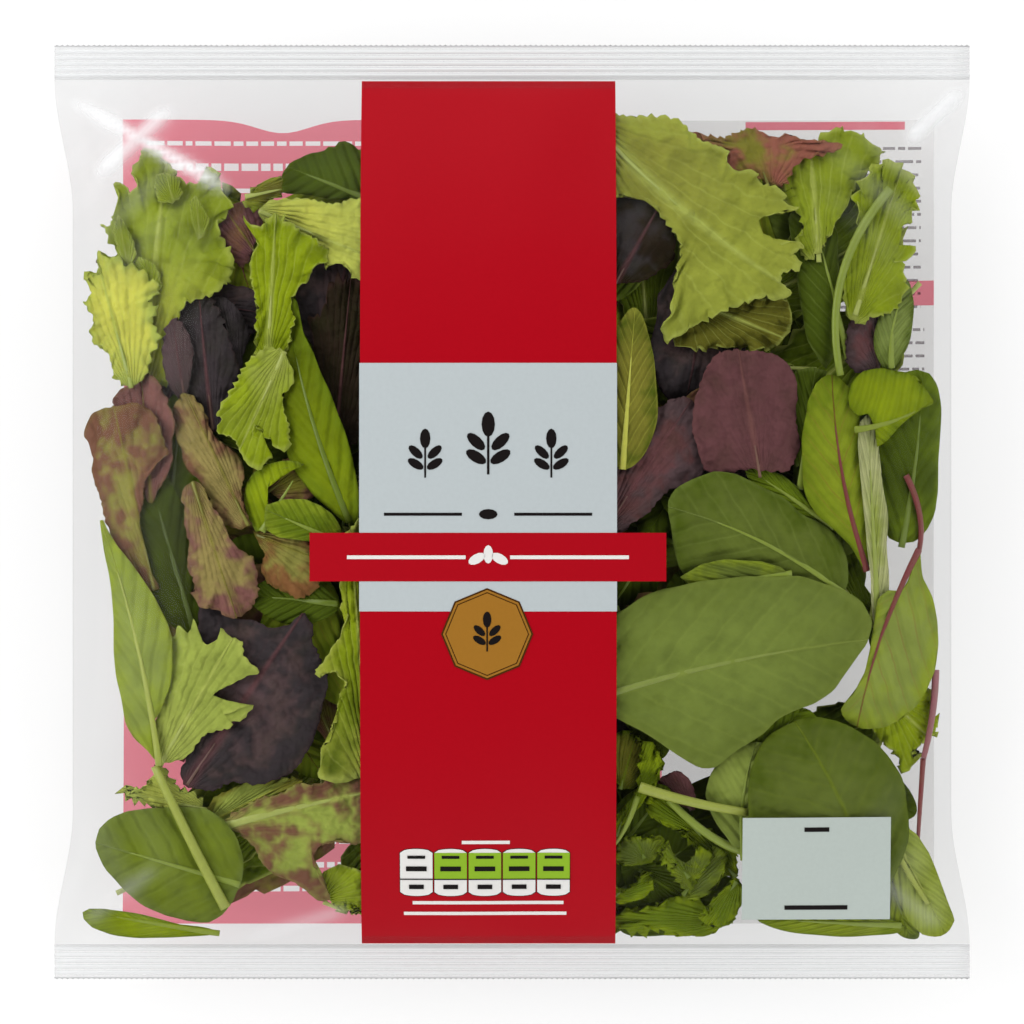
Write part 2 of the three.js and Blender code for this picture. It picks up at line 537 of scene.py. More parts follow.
BAND = (-41.0, 28.2)
BAND_ENDS = (-117.8, 117.6)
PANEL_ENDS = (-26.8, 40.2)
BANNER = {"left": -54.6, "right": 41.6, "low": -18.7, "high": -5.6}
BADGE = {"x": -6.7, "y": -32.9, "radius": 12.4}
PORTION_WIDTH = 9.3
PORTION_LEFT = -30.6
PORTION_LOW = -103.2
PORTION_HIGH = -92.4
DATE = {"left": 62.5, "right": 103.0, "low": -111.0, "high": -82.9}

front_print = Print("front_print", FRONT)
front_print.field("red", *BAND, *BAND_ENDS, 0)
front_print.field("pale blue", BAND[0] - 0.2, BAND[1] + 0.1, *PANEL_ENDS, 1)
front_print.field("banner red", *BANNER.values(), 2)


def printed_sprig(sheet, ink, x, y, size, layer):
    """A plain sprig of five rounded leaves on a thin stem, as a common sign for salad."""
    sheet.field(ink, x - 0.04 * size, x + 0.04 * size, y - 0.9 * size, y + 0.5 * size, layer)
    sheet.spot(ink, x, y + 0.75 * size, 0.22 * size, 12, layer, stretch=1.9, lean=math.pi / 2)
    for side in (-1, 1):
        for step, lean in ((0.18, 0.75), (-0.32, 0.55)):
            leaf_x = x + side * 0.4 * size
            leaf_y = y + step * size
            sheet.spot(ink, leaf_x, leaf_y, 0.18 * size, 12, layer, stretch=2.1, lean=side * lean)


def printed_rule(sheet, ink, left, right, y, height, layer):
    """A plain rule in the place of a line of words."""
    sheet.field(ink, left, right, y - height / 2, y + height / 2, layer)


SPRIG_X = -6.4
for offset, y, size in ((-17, 15.0, 6.4), (0, 17.5, 8.2), (17, 15.0, 6.4)):
    printed_sprig(front_print, "dark", SPRIG_X + offset, y, size, 2)
for left, right in ((-34.5, -13.5), (0.6, 21.6)):
    printed_rule(front_print, "dark", left, right, -0.6, 0.8, 2)
front_print.spot("dark", SPRIG_X, -0.6, 1.4, 12, 2, stretch=1.8)
for left, right in ((-44.5, -12.5), (-0.5, 31.5)):
    printed_rule(front_print, "white", left, right, -12.2, 1.0, 3)
for offset, y, lean in ((-3.1, -12.6, 0.5), (0, -11.4, math.pi / 2), (3.1, -12.6, -0.5)):
    front_print.spot("white", SPRIG_X + offset, y, 1.3, 12, 3, stretch=1.9, lean=lean)

# The badge is an eight-sided gold seal with a thin dark line inside its edge.
for ink, inset, layer in (("dark gold", 0, 2), ("gold", 0.5, 3), ("dark gold", 1.1, 4), ("gold", 1.4, 5)):
    front_print.spot(ink, BADGE["x"], BADGE["y"], BADGE["radius"] - inset, 8, layer)
printed_sprig(front_print, "dark", BADGE["x"], BADGE["y"], 5.2, 6)

# Five small portion panels, white over green, each with plain bars for its figures.
PORTION_ARCH = 1.1
PORTION_RIM = 0.15
for place in range(5):
    left = PORTION_LEFT + place * PORTION_WIDTH + 0.25
    right = left + PORTION_WIDTH - 0.5
    middle = (left + right) / 2
    rim = (left - PORTION_RIM, right + PORTION_RIM, PORTION_LOW - PORTION_RIM, PORTION_HIGH + PORTION_RIM)
    front_print.field("dark", *rim, 1, arch=PORTION_ARCH)
    front_print.field("white", left, right, PORTION_LOW, PORTION_HIGH, 2, arch=PORTION_ARCH)
    if place:
        front_print.field("green", left, right, PORTION_LOW + 3.6, PORTION_HIGH, 3)
    printed_rule(front_print, "dark", left, right, PORTION_LOW + 3.5, 0.3, 4)
    bars = ((2.4, PORTION_HIGH - 1.2, 0.8), (2.8, PORTION_HIGH - 4.4, 1.3), (2.0, PORTION_LOW + 1.4, 1.2))
    for reach, y, height in bars:
        printed_rule(front_print, "dark", middle - reach, middle + reach, y, height, 4)
for left, right, y in ((-13.6, -0.6, -89.5), (-27, 14, -106.2), (-29.4, 14.8, -109.2)):
    printed_rule(front_print, "white", left, right, y, 0.9, 1)

front_print.field("date grey", *DATE.values(), 0)
DATE_MIDDLE = (DATE["left"] + DATE["right"]) / 2
for reach, y in ((3.4, -86.2), (8.6, -107.7)):
    printed_rule(front_print, "dark", DATE_MIDDLE - reach, DATE_MIDDLE + reach, y, 1.2, 1)

front_inks = {
    "red": printed_ink("red ink", colour(172, 6, 24)),
    "banner red": printed_ink("banner red ink", colour(171, 10, 26)),
    "pale blue": printed_ink("pale blue ink", colour(187, 195, 197)),
    "dark": printed_ink("dark ink", colour(26, 22, 22)),
    "white": printed_ink("white ink", colour(232, 230, 226)),
    "gold": printed_ink("gold ink", colour(178, 124, 46), 0.35, 0.3),
    "dark gold": printed_ink("dark gold ink", colour(84, 52, 20), 0.35, 0.3),
    "green": printed_ink("green ink", colour(142, 182, 44)),
    "date grey": printed_ink("date grey ink", colour(186, 196, 190)),
}
front_print.piece(front_inks)

# The back's print is seen from behind through the clear film: a pink field to the left and a white
# one to the right, with rows of short bars where the real bag has its small words.
back_print = Print("back_print", BACK)
draw_bars = np.random.default_rng(41)
PINK = {"left": -106.5, "right": 41.2, "low": -112.6, "high": 107.4}
PINK_MARGIN = 6.5
PINK_DIP = {"x": -62.8, "depth": 3.6, "reach": 10.0}
PINK_PITCH = 6.4
PINK_ROWS = [(101.0 - PINK_PITCH * row, 2.0 if row == 1 else 1.2) for row in range(9)]
PINK_ROWS += [(-84 - PINK_PITCH * row, 1.5) for row in range(4)]
PAPER = {"left": 41.2, "right": 115.5, "low": -112.6, "high": 107.2}
WORD_SPACE = 0.8
SMALL_PITCH = 3.6


def word_lengths(span):
    """Lengths of the words of one row, until they fill the span."""
    while span > 0:
        length = draw_bars.uniform(1.4, 5)
        yield min(length, span)
        span -= length + WORD_SPACE


def pink_row(y, height):
    """One row of the pink field's words: clear bars with slivers of pink between them."""
    low = y - height / 2
    high = y + height / 2
    x = PINK["left"] + PINK_MARGIN
    back_print.field("pink", PINK["left"], x, low, high, 0)
    for length in word_lengths(PINK["right"] - PINK_MARGIN - x):
        x += length
        back_print.field("pink", x, x + WORD_SPACE, low, high, 0)
        x += WORD_SPACE
    back_print.field("pink", x, PINK["right"], low, high, 0)


def pink_field():
    """The whole pink field, in strips between its rows of words. Its top edge has a hollow."""
    top = PINK["high"]
    dip = PINK_DIP
    for y, height in PINK_ROWS:
        back_print.field("pink", PINK["left"], PINK["right"], y + height / 2, top, 0, dip=dip)
        pink_row(y, height)
        top = y - height / 2
        dip = None
    back_print.field("pink", PINK["left"], PINK["right"], PINK["low"], top, 0)


def row_of_bars(left, right, y):
    """Short bars of uneven length, in the place of a line of small words."""
    x = left
    for length in word_lengths(right - left):
        printed_rule(back_print, "grey", x, x + length, y, 0.8, 1)
        x += length + WORD_SPACE


pink_field()
back_print.field("paper", *PAPER.values(), 0)
back_print.field("pink", 64, 107.5, 104.6, 106.8, 1)
back_print.field("pink", 104, 115.5, 56.6, 63.4, 1)
for row in range(13):
    row_of_bars(70, 112, 99.5 - SMALL_PITCH * row)
for row in range(10):
    row_of_bars(98, 113, 50 - SMALL_PITCH * row)
back_inks = {
    "pink": printed_ink("pink ink", colour(247, 154, 168), 0.45, thin=0.93),
    "paper": printed_ink("white back ink", colour(248, 247, 247), 0.45, thin=0.88),
    "grey": printed_ink("grey bars ink", colour(186, 180, 183), 0.45, thin=0.85),
}
back_print.piece(back_inks)

# The leaves fill the bag from the front film to the back film. Each is a thin blade from a flat grid,
# with a rounded outline, a rib, ruffles and blisters, and is then laid behind those already in place.
BLADE_THICKNESS = 0.3
FILM_CLEARANCE = 0.5
SIDE_CLEARANCE = 1.5
END_CLEARANCE = 0.8
TURN_IN = 2.5
LEAST_ROOM = 0.4
LAYER_GAP = 0.8
SMOOTH_STEP = 1.7
FRILLY_STEP = 0.8
LEAST_STEPS = 12
MOST_STEPS = 60
FILL_STEP = 4.0
PHOTO_MIDDLE = (512, 512.4)
PIXEL = 0.2705

SHADES = {
    "pale frill": colour(208, 208, 84),
    "pale rib": colour(176, 186, 92),
    "white rib": colour(186, 190, 132),
    "light green": colour(160, 174, 78),
    "yellow green": colour(184, 192, 86),
    "lime": colour(142, 160, 20),
    "fresh": colour(140, 156, 38),
    "bright": colour(154, 162, 62),
    "leaf green": colour(104, 124, 22),
    "pale leaf": colour(142, 157, 72),
    "spinach": colour(102, 116, 46),
    "bright spinach": colour(122, 138, 62),
    "warm spinach": colour(116, 132, 34),
    "deep spinach": colour(74, 90, 18),
    "spinach back": colour(132, 148, 74),
    "dark green": colour(56, 68, 6),
    "olive": colour(132, 128, 48),
    "tan": colour(158, 142, 84),
    "pale olive": colour(150, 146, 72),
    "olive green": colour(106, 104, 34),
    "rust": colour(132, 90, 54),
    "brown": colour(120, 82, 64),
    "pinkish brown": colour(150, 92, 76),
    "plum": colour(128, 86, 80),
    "wine": colour(106, 68, 70),
    "purple": colour(88, 70, 72),
    "black purple": colour(58, 52, 54),
    "shadow brown": colour(38, 30, 18),
    "rose stem": colour(152, 82, 96),
    "stem": colour(170, 180, 76),
    "stem green": colour(140, 158, 52),
    "red stem": colour(128, 34, 50),
}


def soft_wave(x, y, reach, seed):
    """A smooth random surface between about -1 and 1, with its humps about reach millimetres apart."""
    draws = np.random.default_rng(seed)
    waves = 6
    turns = draws.uniform(0, 2 * math.pi, waves)
    phases = draws.uniform(0, 2 * math.pi, waves)
    stretches = draws.uniform(0.7, 1.4, waves)
    total = np.zeros_like(x)
    for turn, phase, stretch in zip(turns, phases, stretches):
        run = x * math.cos(turn) + y * math.sin(turn)
        total += np.sin(2 * math.pi * run / (reach * stretch) + phase)
    return total * 1.7 / waves


def read(*places):
    """Places read off the photograph, in its pixels, as millimetres from the bag's middle."""
    return [((x - PHOTO_MIDDLE[0]) * PIXEL, (PHOTO_MIDDLE[1] - y) * PIXEL) for x, y in places]


def soft_bow(start, knee, end, share):
    """Places along a soft bow from start to end that leans towards its knee."""
    return [
        (1 - share) ** 2 * start[axis] + 2 * share * (1 - share) * knee[axis] + share**2 * end[axis]
        for axis in (0, 1)
    ]


RING_PLACES = 480
FINE_ROUNDING = 2
COARSE_ROUNDING = 22
CRUMPLE_REACH = 14.0


def rounded(ring, reach):
    """A closed line whose every place is averaged with its neighbours."""
    for _ in range(2):
        ring = sum(np.roll(ring, step, 0) for step in range(-reach, reach + 1)) / (2 * reach + 1)
    return ring


def even_ring(corners):
    """A closed line through these corners, clockwise, as places that are evenly far apart."""
    corners = np.array(corners)
    after = np.roll(corners, -1, 0)
    if np.sum(corners[:, 0] * after[:, 1] - corners[:, 1] * after[:, 0]) > 0:
        corners = corners[::-1]
    closed = np.vstack((corners, corners[:1]))
    run = np.concatenate(([0], np.cumsum(np.hypot(*np.diff(closed, axis=0).T))))
    even = np.linspace(0, run[-1], RING_PLACES, endpoint=False)
    return np.column_stack([np.interp(even, run, closed[:, axis]) for axis in (0, 1)]), run[-1]


class Leaf:
    """A leaf's place in the bag, from base to tip, and the sizes of its form, in millimetres."""

    habit = {
        "bend": 0.0,
        "sink": 0.0,
        "fan": -0.12,
        "point": 0.05,
        "crumple": 0.3,
        "neck": 0.2,
        "lobes": 5,
        "lobe": 0.0,
        "teeth": 0.0,
        "tooth_count": 24,
        "ruffles": 7,
        "ruffle": 0.4,
        "fold_over": 0.0,
        "blister": 0.25,
        "blister_reach": 9.0,
        "cup": 1.0,
        "tilt": 0.0,
        "spread": 0.1,
        "stalk": 0.0,
        "stalk_radius": 1.0,
        "rib": 0.75,
        "heart": None,
        "heart_reach": 0.5,
        "nibble": 0.0,
        "nibble_pitch": 2.6,
        "side": FRONT,
        "step": SMOOTH_STEP,
        "outline": None,
    }

    def __init__(self, lay, base, tip, width, seed, kind, **own):
        self.lay = lay
        self.base = np.array(base, dtype=float)
        self.tip = np.array(tip, dtype=float)
        self.width = width
        self.seed = seed
        for name, given in {**Leaf.habit, **kind, **own}.items():
            setattr(self, name, given)
        self.length = math.dist(base, tip)
        around = 2.4 * (self.length + self.width)
        if self.outline:
            around = self.trace_outline()
        self.steps = int(np.clip(around / 4 / self.step, LEAST_STEPS, MOST_STEPS))

    @classmethod
    def outlined(cls, lay, base, tip, seed, outline, kind, **own):
        """A leaf whose outline, base and tip are read off the photograph."""
        base, tip = read(base, tip)
        return cls(lay, base, tip, 1, seed, kind, outline=read(*outline), **own)

    def trace_outline(self):
        """Keeps the outline as places round the leaf, each with its turn from the tip."""
        ring, around = even_ring(self.outline)
        ring = np.roll(ring, -int(np.argmin(np.hypot(*(ring - self.tip).T))), 0)
        coarse = rounded(ring, COARSE_ROUNDING)
        run = np.concatenate(([0], np.cumsum(np.hypot(*np.diff(coarse, axis=0).T))))
        whole = run[-1] + math.dist(coarse[-1], coarse[0])
        half = run[int(np.argmin(np.hypot(*(ring - self.base).T)))]
        second = math.pi * (1 + (run - half) / (whole - half))
        self.turns = np.where(run < half, math.pi * run / max(half, 0.001), second)
        ahead = np.roll(ring, -1, 0) - np.roll(ring, 1, 0)
        size = np.hypot(*ahead.T)
        outward = np.column_stack((-ahead[:, 1], ahead[:, 0])) / size[:, None]
        place = np.arange(RING_PLACES) * around / RING_PLACES
        saw = 1 - 2 * np.abs((place / self.nibble_pitch + 0.6 * np.sin(place / 5 + self.seed)) % 1 - 0.5)
        saw = self.nibble * (saw - 0.4) * (1 + 0.6 * np.sin(place / 9 + 2 * self.seed))
        self.ring = rounded(ring, FINE_ROUNDING) + outward * saw[:, None]
        self.coarse_ring = coarse
        way = (self.tip - self.base) / self.length
        self.width = 2 * np.max(np.abs((ring - self.base) @ np.array((way[1], -way[0]))))
        return around

    def outlined_blade(self, angle, out):
        """Points across and along the leaf, between the middle and the outline that was read."""
        middle = self.coarse_ring.mean(0)
        turn = angle % (2 * math.pi)
        sharp = out**4
        places = []
        for axis in (0, 1):
            fine = np.interp(turn, self.turns, self.ring[:, axis], period=2 * math.pi)
            coarse = np.interp(turn, self.turns, self.coarse_ring[:, axis], period=2 * math.pi)
            from_middle = out * (coarse + (fine - coarse) * sharp - middle[axis])
            places.append(middle[axis] + from_middle - self.base[axis])
        way = (self.tip - self.base) / self.length
        return places[0] * way[1] - places[1] * way[0], places[0] * way[0] + places[1] * way[1]

    def blade(self, s, t):
        """The flat grid's points as places across and along the leaf, and how far each is sunk."""
        draws = np.random.default_rng(self.seed)
        phases = draws.uniform(0, 2 * math.pi, 8)
        a = s * np.sqrt(1 - t * t / 2)
        b = t * np.sqrt(1 - s * s / 2)
        rim = np.maximum(np.abs(s), np.abs(t))
        angle = np.arctan2(a, b)
        wander = angle + 0.2 * np.sin(2 * angle + phases[0]) + 0.09 * np.sin(5 * angle + phases[1])
        wander = wander / (2 * math.pi)
        uneven = 0.6 + 0.4 * np.sin(3 * angle + phases[2])
        lobes = (1 - np.abs((self.lobes * wander + phases[3]) % 1 - 0.5) * 2) ** 1.3
        teeth = 1 - np.abs((self.tooth_count * wander + phases[4]) % 1 - 0.5) * 2
        grow = 1 + self.lobe * rim**4 * (lobes - 0.4) * uneven
        grow += self.teeth * rim**8 * (teeth - 0.5) * (1.3 - uneven)
        grow += 0.035 * rim**3 * (np.sin(2 * angle + phases[3]) + np.sin(3 * angle + phases[4]))
        across = self.width / 2 * a * (1 + self.fan * b) * grow * (1 - self.neck * np.clip(-b, 0, 1) ** 3)
        along = self.length * (0.5 + 0.5 * b * grow + self.point * np.clip(b, 0, 1) ** 5)
        if self.outline:
            across, along = self.outlined_blade(angle, np.hypot(a, b))
        edge = rim**2.5 * (0.35 + 0.65 * (b + 1) / 2)
        turn = self.ruffles * angle + phases[5] + 1.3 * np.sin(2 * angle + phases[6])
        uneven = 0.7 + 0.3 * np.sin(2 * angle + phases[7])
        sunk = self.ruffle * edge * uneven * (np.sin(turn) + 0.4 * rim**2 * np.sin(2.7 * turn + phases[7]))
        shift = self.fold_over * edge * np.sin(2 * turn)
        across = across - shift * np.cos(angle)
        along = along + shift * np.sin(angle)
        aside = self.crumple * soft_wave(across, along, CRUMPLE_REACH, self.seed + 7)
        ahead = self.crumple * soft_wave(across, along, CRUMPLE_REACH, self.seed + 8)
        across = across + aside
        along = along + ahead
        sunk += self.blister * soft_wave(across, along, self.blister_reach, self.seed) * (1 - rim**4)
        sunk += self.cup * (2 * across / self.width) ** 2
        sunk += self.tilt * across / self.width
        return across, along, sunk, rim

    def middle_line(self, along):
        """How far the rib bows aside, for leaves whose outline was read."""
        share = along / self.length
        return 4 * self.bend * share * (1 - share) if self.outline else 0 * share

    def plan(self, across, along):
        """Places in the bag of points across and along the leaf, whose middle line is a soft bow."""
        way = (self.tip - self.base) / self.length
        beside = np.array((way[1], -way[0]))
        if self.outline:
            return [self.base[axis] + way[axis] * along + beside[axis] * across for axis in (0, 1)]
        share = along / self.length
        knee = (self.base + self.tip) / 2 + 2 * self.bend * beside
        line = soft_bow(self.base, knee, self.tip, share)
        run = 2 * np.outer(knee - self.base, 1 - share) + 2 * np.outer(self.tip - knee, share)
        size = np.hypot(*run)
        return line[0] + across * run[1] / size, line[1] - across * run[0] / size


def kept_short(value, limit):
    """A length that is softly held under its limit, on both sides of the middle."""
    firm = limit - TURN_IN
    over = np.maximum(np.abs(value) - firm, 0)
    return np.sign(value) * (np.minimum(np.abs(value), firm) + TURN_IN * (1 - np.exp(-over / TURN_IN)))


def kept_inside(x, y):
    """Turns in what would reach past the film's sides or ends."""
    y = kept_short(y, HALF_BODY - END_CLEARANCE)
    return kept_short(x, half_width_at(y) - SIDE_CLEARANCE), y


class Pile:
    """How deep the leaves already reach below a film, in millimetres, on a square grid."""

    cell = 2.0
    half = 130.0

    def __init__(self):
        count = int(2 * self.half / self.cell) + 1
        self.depth = np.zeros((count, count))
        self.soft = self.depth.copy()

    def cells(self, x, y):
        """The row and column of places in the bag."""
        return (y + self.half) / self.cell, (x + self.half) / self.cell

    def under(self, x, y):
        """The smoothed depth below a place."""
        row, column = self.cells(x, y)
        last = self.depth.shape[0] - 2
        r = np.clip(row.astype(int), 0, last)
        c = np.clip(column.astype(int), 0, last)
        dr, dc = row - r, column - c
        upper = self.soft[r, c] * (1 - dc) + self.soft[r, c + 1] * dc
        lower = self.soft[r + 1, c] * (1 - dc) + self.soft[r + 1, c + 1] * dc
        return upper * (1 - dr) + lower * dr

    def press(self, x, y, depth):
        """Adds a leaf, then smooths the pile for the next one."""
        last = self.depth.shape[0] - 1
        row, column = (np.clip(np.rint(part).astype(int), 0, last) for part in self.cells(x, y))
        np.maximum.at(self.depth, (row, column), depth)
        wide = self.depth.copy()
        for axis in (0, 1):
            for step in (-1, 1):
                wide = np.maximum(wide, np.roll(self.depth, step, axis))
        for _ in range(3):
            for axis in (0, 1):
                wide = (np.roll(wide, 1, axis) + 2 * wide + np.roll(wide, -1, axis)) / 4
        self.soft = wide


def laid_height(x, y, depth, side):
    """The height of a point that lies at a depth below the film, squeezed towards the bag's middle."""
    surface = film_height(x, y, side)
    room = (film_height(x, y, FRONT) - film_height(x, y, BACK)) / 2 - FILM_CLEARANCE
    room = np.maximum(room, LEAST_ROOM)
    return surface - side * (FILM_CLEARANCE + room * (1 - np.exp(-depth / room)))


# Spinach and its like: smooth rounded leaves, some seen from their paler backs.
SPINACH = {"shade": "spinach", "edge": "deep spinach", "vein": "spinach back"}
spinach = [
    Leaf.outlined(1, (600, 697), (872, 640), 1, (
        (598, 640), (612, 618), (635, 600), (665, 588), (700, 582), (745, 576), (800, 577), (840, 588),
        (862, 602), (874, 622), (868, 645), (850, 668), (835, 690), (815, 705), (790, 712), (778, 718),
        (765, 735), (740, 748), (715, 768), (700, 768), (670, 750), (640, 730), (610, 715), (596, 690),
    ), SPINACH, bend=-2, blister=0.6, cup=1.2, tilt=-1, ruffle=0.5, vein="pale leaf",
        shade="bright spinach", edge="spinach"),
    Leaf.outlined(1, (880, 900), (795, 722), 2, (
        (749, 795), (750, 772), (758, 750), (770, 735), (785, 725), (800, 719), (818, 717), (836, 721),
        (856, 730), (876, 743), (891, 758), (901, 776), (908, 796), (912, 818), (911, 842), (905, 862),
        (896, 882), (885, 900), (855, 912), (820, 912), (788, 900), (765, 878), (753, 850), (749, 822),
    ), SPINACH, bend=2, blister=0.5, cup=0.9, rib=0.35, vein="warm spinach"),
    Leaf.outlined(2, (238, 887), (92, 845), 3, (
        (92, 848), (96, 832), (108, 820), (125, 813), (150, 810), (180, 809), (205, 810), (222, 820),
        (236, 838), (242, 860), (240, 885), (232, 905), (220, 918), (205, 926), (185, 925), (165, 920),
        (140, 908), (120, 892), (102, 872),
    ), SPINACH, shade="warm spinach", edge="spinach", cup=1.0),
    Leaf.outlined(1, (158, 767), (96, 512), 4, (
        (96, 512), (104, 528), (115, 545), (128, 560), (142, 580), (155, 598), (165, 620), (171, 640),
        (172, 665), (168, 690), (160, 712), (150, 724), (150, 740), (158, 767), (146, 752), (133, 740),
        (125, 725), (120, 700), (115, 680), (112, 650), (112, 620), (110, 595), (106, 570), (101, 545),
    ), SPINACH, bend=2, shade="pale leaf", vein="stem", edge="fresh"),
    Leaf.outlined(3, (852, 600), (667, 507), 5, (
        (667, 515), (668, 500), (676, 488), (695, 478), (712, 472), (735, 474), (758, 485), (785, 500),
        (805, 515), (825, 526), (840, 540), (848, 560), (848, 585), (840, 600), (800, 610), (740, 608),
        (700, 590), (680, 570), (672, 545),
    ), SPINACH, bend=3, cup=1.2, blister=0.5),
    Leaf.outlined(2, (792, 574), (662, 592), 6, (
        (680, 578), (700, 564), (725, 560), (760, 561), (780, 567), (788, 574), (780, 590), (740, 592),
        (700, 592),
    ), SPINACH, edge="fresh", cup=0.3),
    Leaf.outlined(5, (835, 528), (742, 465), 7, (
        (742, 465), (760, 466), (782, 475), (798, 488), (808, 502), (822, 518), (812, 524), (790, 512),
        (765, 496), (748, 480),
    ), SPINACH, cup=0.4, shade="leaf green"),
    Leaf.outlined(2, (745, 862), (757, 742), 8, (
        (705, 795), (712, 775), (720, 760), (735, 748), (755, 742), (775, 745), (775, 820), (760, 850),
        (735, 850), (720, 830), (710, 812),
    ), SPINACH, bend=-2, shade="pale leaf", edge="spinach"),
    Leaf.outlined(4, (903, 548), (925, 372), 9, (
        (905, 372), (918, 368), (932, 372), (941, 385), (945, 405), (943, 430), (941, 460), (941, 490),
        (938, 515), (930, 530), (918, 542), (902, 544), (888, 538), (884, 520), (880, 495), (876, 470),
        (876, 440), (885, 400),
    ), SPINACH, bend=1, shade="deep spinach", edge="leaf green", vein="leaf green"),
    Leaf(4, *read((893, 368), (908, 286)), 10, 10, SPINACH, shade="spinach back", bend=-1.5),
    Leaf.outlined(1, (217, 938), (78, 915), 11, (
        (76, 918), (82, 912), (100, 912), (125, 916), (150, 922), (175, 928), (200, 931), (217, 935),
        (212, 939), (195, 941), (165, 944), (135, 944), (110, 940), (90, 932),
    ), SPINACH, shade="lime", edge="leaf green", vein="lime", cup=0.3),
    # The leaves at layer 8 lie behind the others and are given dark greens, as painted shade.
    Leaf(8, *read((612, 900), (705, 838)), 20, 24, SPINACH, shade="dark green", edge="deep spinach",
        vein="leaf green"),
    Leaf(8, *read((618, 925), (735, 890)), 16, 25, SPINACH, shade="dark green", edge="deep spinach",
        vein="leaf green"),
    Leaf(8, *read((606, 918), (640, 890)), 12, 29, SPINACH, shade="deep spinach", edge="leaf green",
        vein="leaf green"),
    Leaf.outlined(4, (738, 775), (806, 707), 28, (
        (722, 775), (733, 752), (752, 731), (772, 718), (790, 708), (804, 708), (816, 716), (818, 730),
        (800, 745), (770, 760), (745, 785),
    ), SPINACH, shade="deep spinach", edge="leaf green", vein="leaf green", nibble=0.4),
    Leaf(8, *read((612, 860), (668, 790)), 15, 26, SPINACH, shade="deep spinach", edge="leaf green",
        vein="leaf green"),
    Leaf(8, *read((165, 560), (180, 400)), 20, 27, SPINACH, shade="dark green", edge="deep spinach",
        vein="deep spinach"),
    Leaf.outlined(5, (372, 200), (284, 165), 12, (
        (280, 190), (283, 172), (292, 160), (310, 153), (330, 146), (345, 139), (352, 145), (365, 150),
        (375, 165), (375, 200), (355, 199), (330, 198), (305, 194),
    ), SPINACH, shade="deep spinach", edge="dark green", nibble=0.8, vein="leaf green"),
    Leaf(5, *read((195, 640), (146, 468)), 17, 13, SPINACH, shade="dark green", edge="deep spinach",
        vein="deep spinach"),
    Leaf(5, *read((338, 604), (250, 596)), 13, 14, SPINACH, shade="deep spinach", vein="leaf green"),
    Leaf.outlined(3, (345, 545), (266, 510), 15, (
        (266, 506), (285, 500), (305, 500), (322, 506), (334, 515), (341, 530), (344, 546), (325, 545),
        (298, 540), (278, 538), (266, 530),
    ), SPINACH, shade="leaf green", edge="fresh"),
    Leaf.outlined(3, (262, 532), (304, 464), 16, (
        (243, 500), (246, 484), (254, 472), (268, 464), (285, 461), (304, 462), (304, 467), (285, 468),
        (272, 474), (268, 490), (269, 510), (266, 528), (256, 532), (247, 518),
    ), SPINACH, shade="lime", edge="leaf green", cup=0.3),
    Leaf(6, *read((622, 470), (634, 320)), 16, 17, SPINACH, shade="olive", edge="deep spinach",
        vein="pale frill"),
    # This leaf runs from lime at its base to dark green at its tip, where the leaf in front lies over it:
    # painted shade.
    Leaf.outlined(3, (350, 522), (285, 300), 18, (
        (268, 300), (285, 292), (296, 300), (305, 335), (318, 366), (330, 392), (342, 425), (352, 455),
        (359, 490), (364, 522), (345, 524), (328, 508), (312, 495), (298, 478), (286, 450), (278, 410),
        (272, 360), (266, 325),
    ), SPINACH, bend=-2, shade="dark green", edge="leaf green", vein="leaf green", heart="lime",
        heart_reach=1.1, cup=1.8, ruffle=0.8),
    Leaf.outlined(2, (884, 815), (948, 935), 19, (
        (905, 828), (920, 838), (933, 856), (942, 880), (952, 905), (959, 923), (952, 935), (942, 943),
        (928, 940), (912, 925), (902, 905), (894, 880), (888, 850),
    ), SPINACH, shade="light green", edge="fresh", vein="stem"),
    Leaf(4, *read((882, 850), (914, 944)), 11, 20, SPINACH, shade="fresh"),
    Leaf(3, *read((905, 930), (765, 923)), 8, 21, SPINACH, shade="fresh", edge="leaf green"),
    Leaf.outlined(6, (800, 490), (815, 372), 22, (
        (795, 372), (812, 368), (828, 372), (815, 395), (808, 430), (804, 465), (796, 468), (790, 440),
        (789, 410),
    ), SPINACH, shade="deep spinach", edge="dark green"),
    Leaf.outlined(7, (850, 360), (812, 205), 23, (
        (790, 215), (805, 200), (825, 205), (838, 230), (842, 270), (838, 310), (836, 350), (825, 370),
        (808, 340), (800, 300), (795, 255),
    ), SPINACH, shade="deep spinach", edge="dark green"),
]

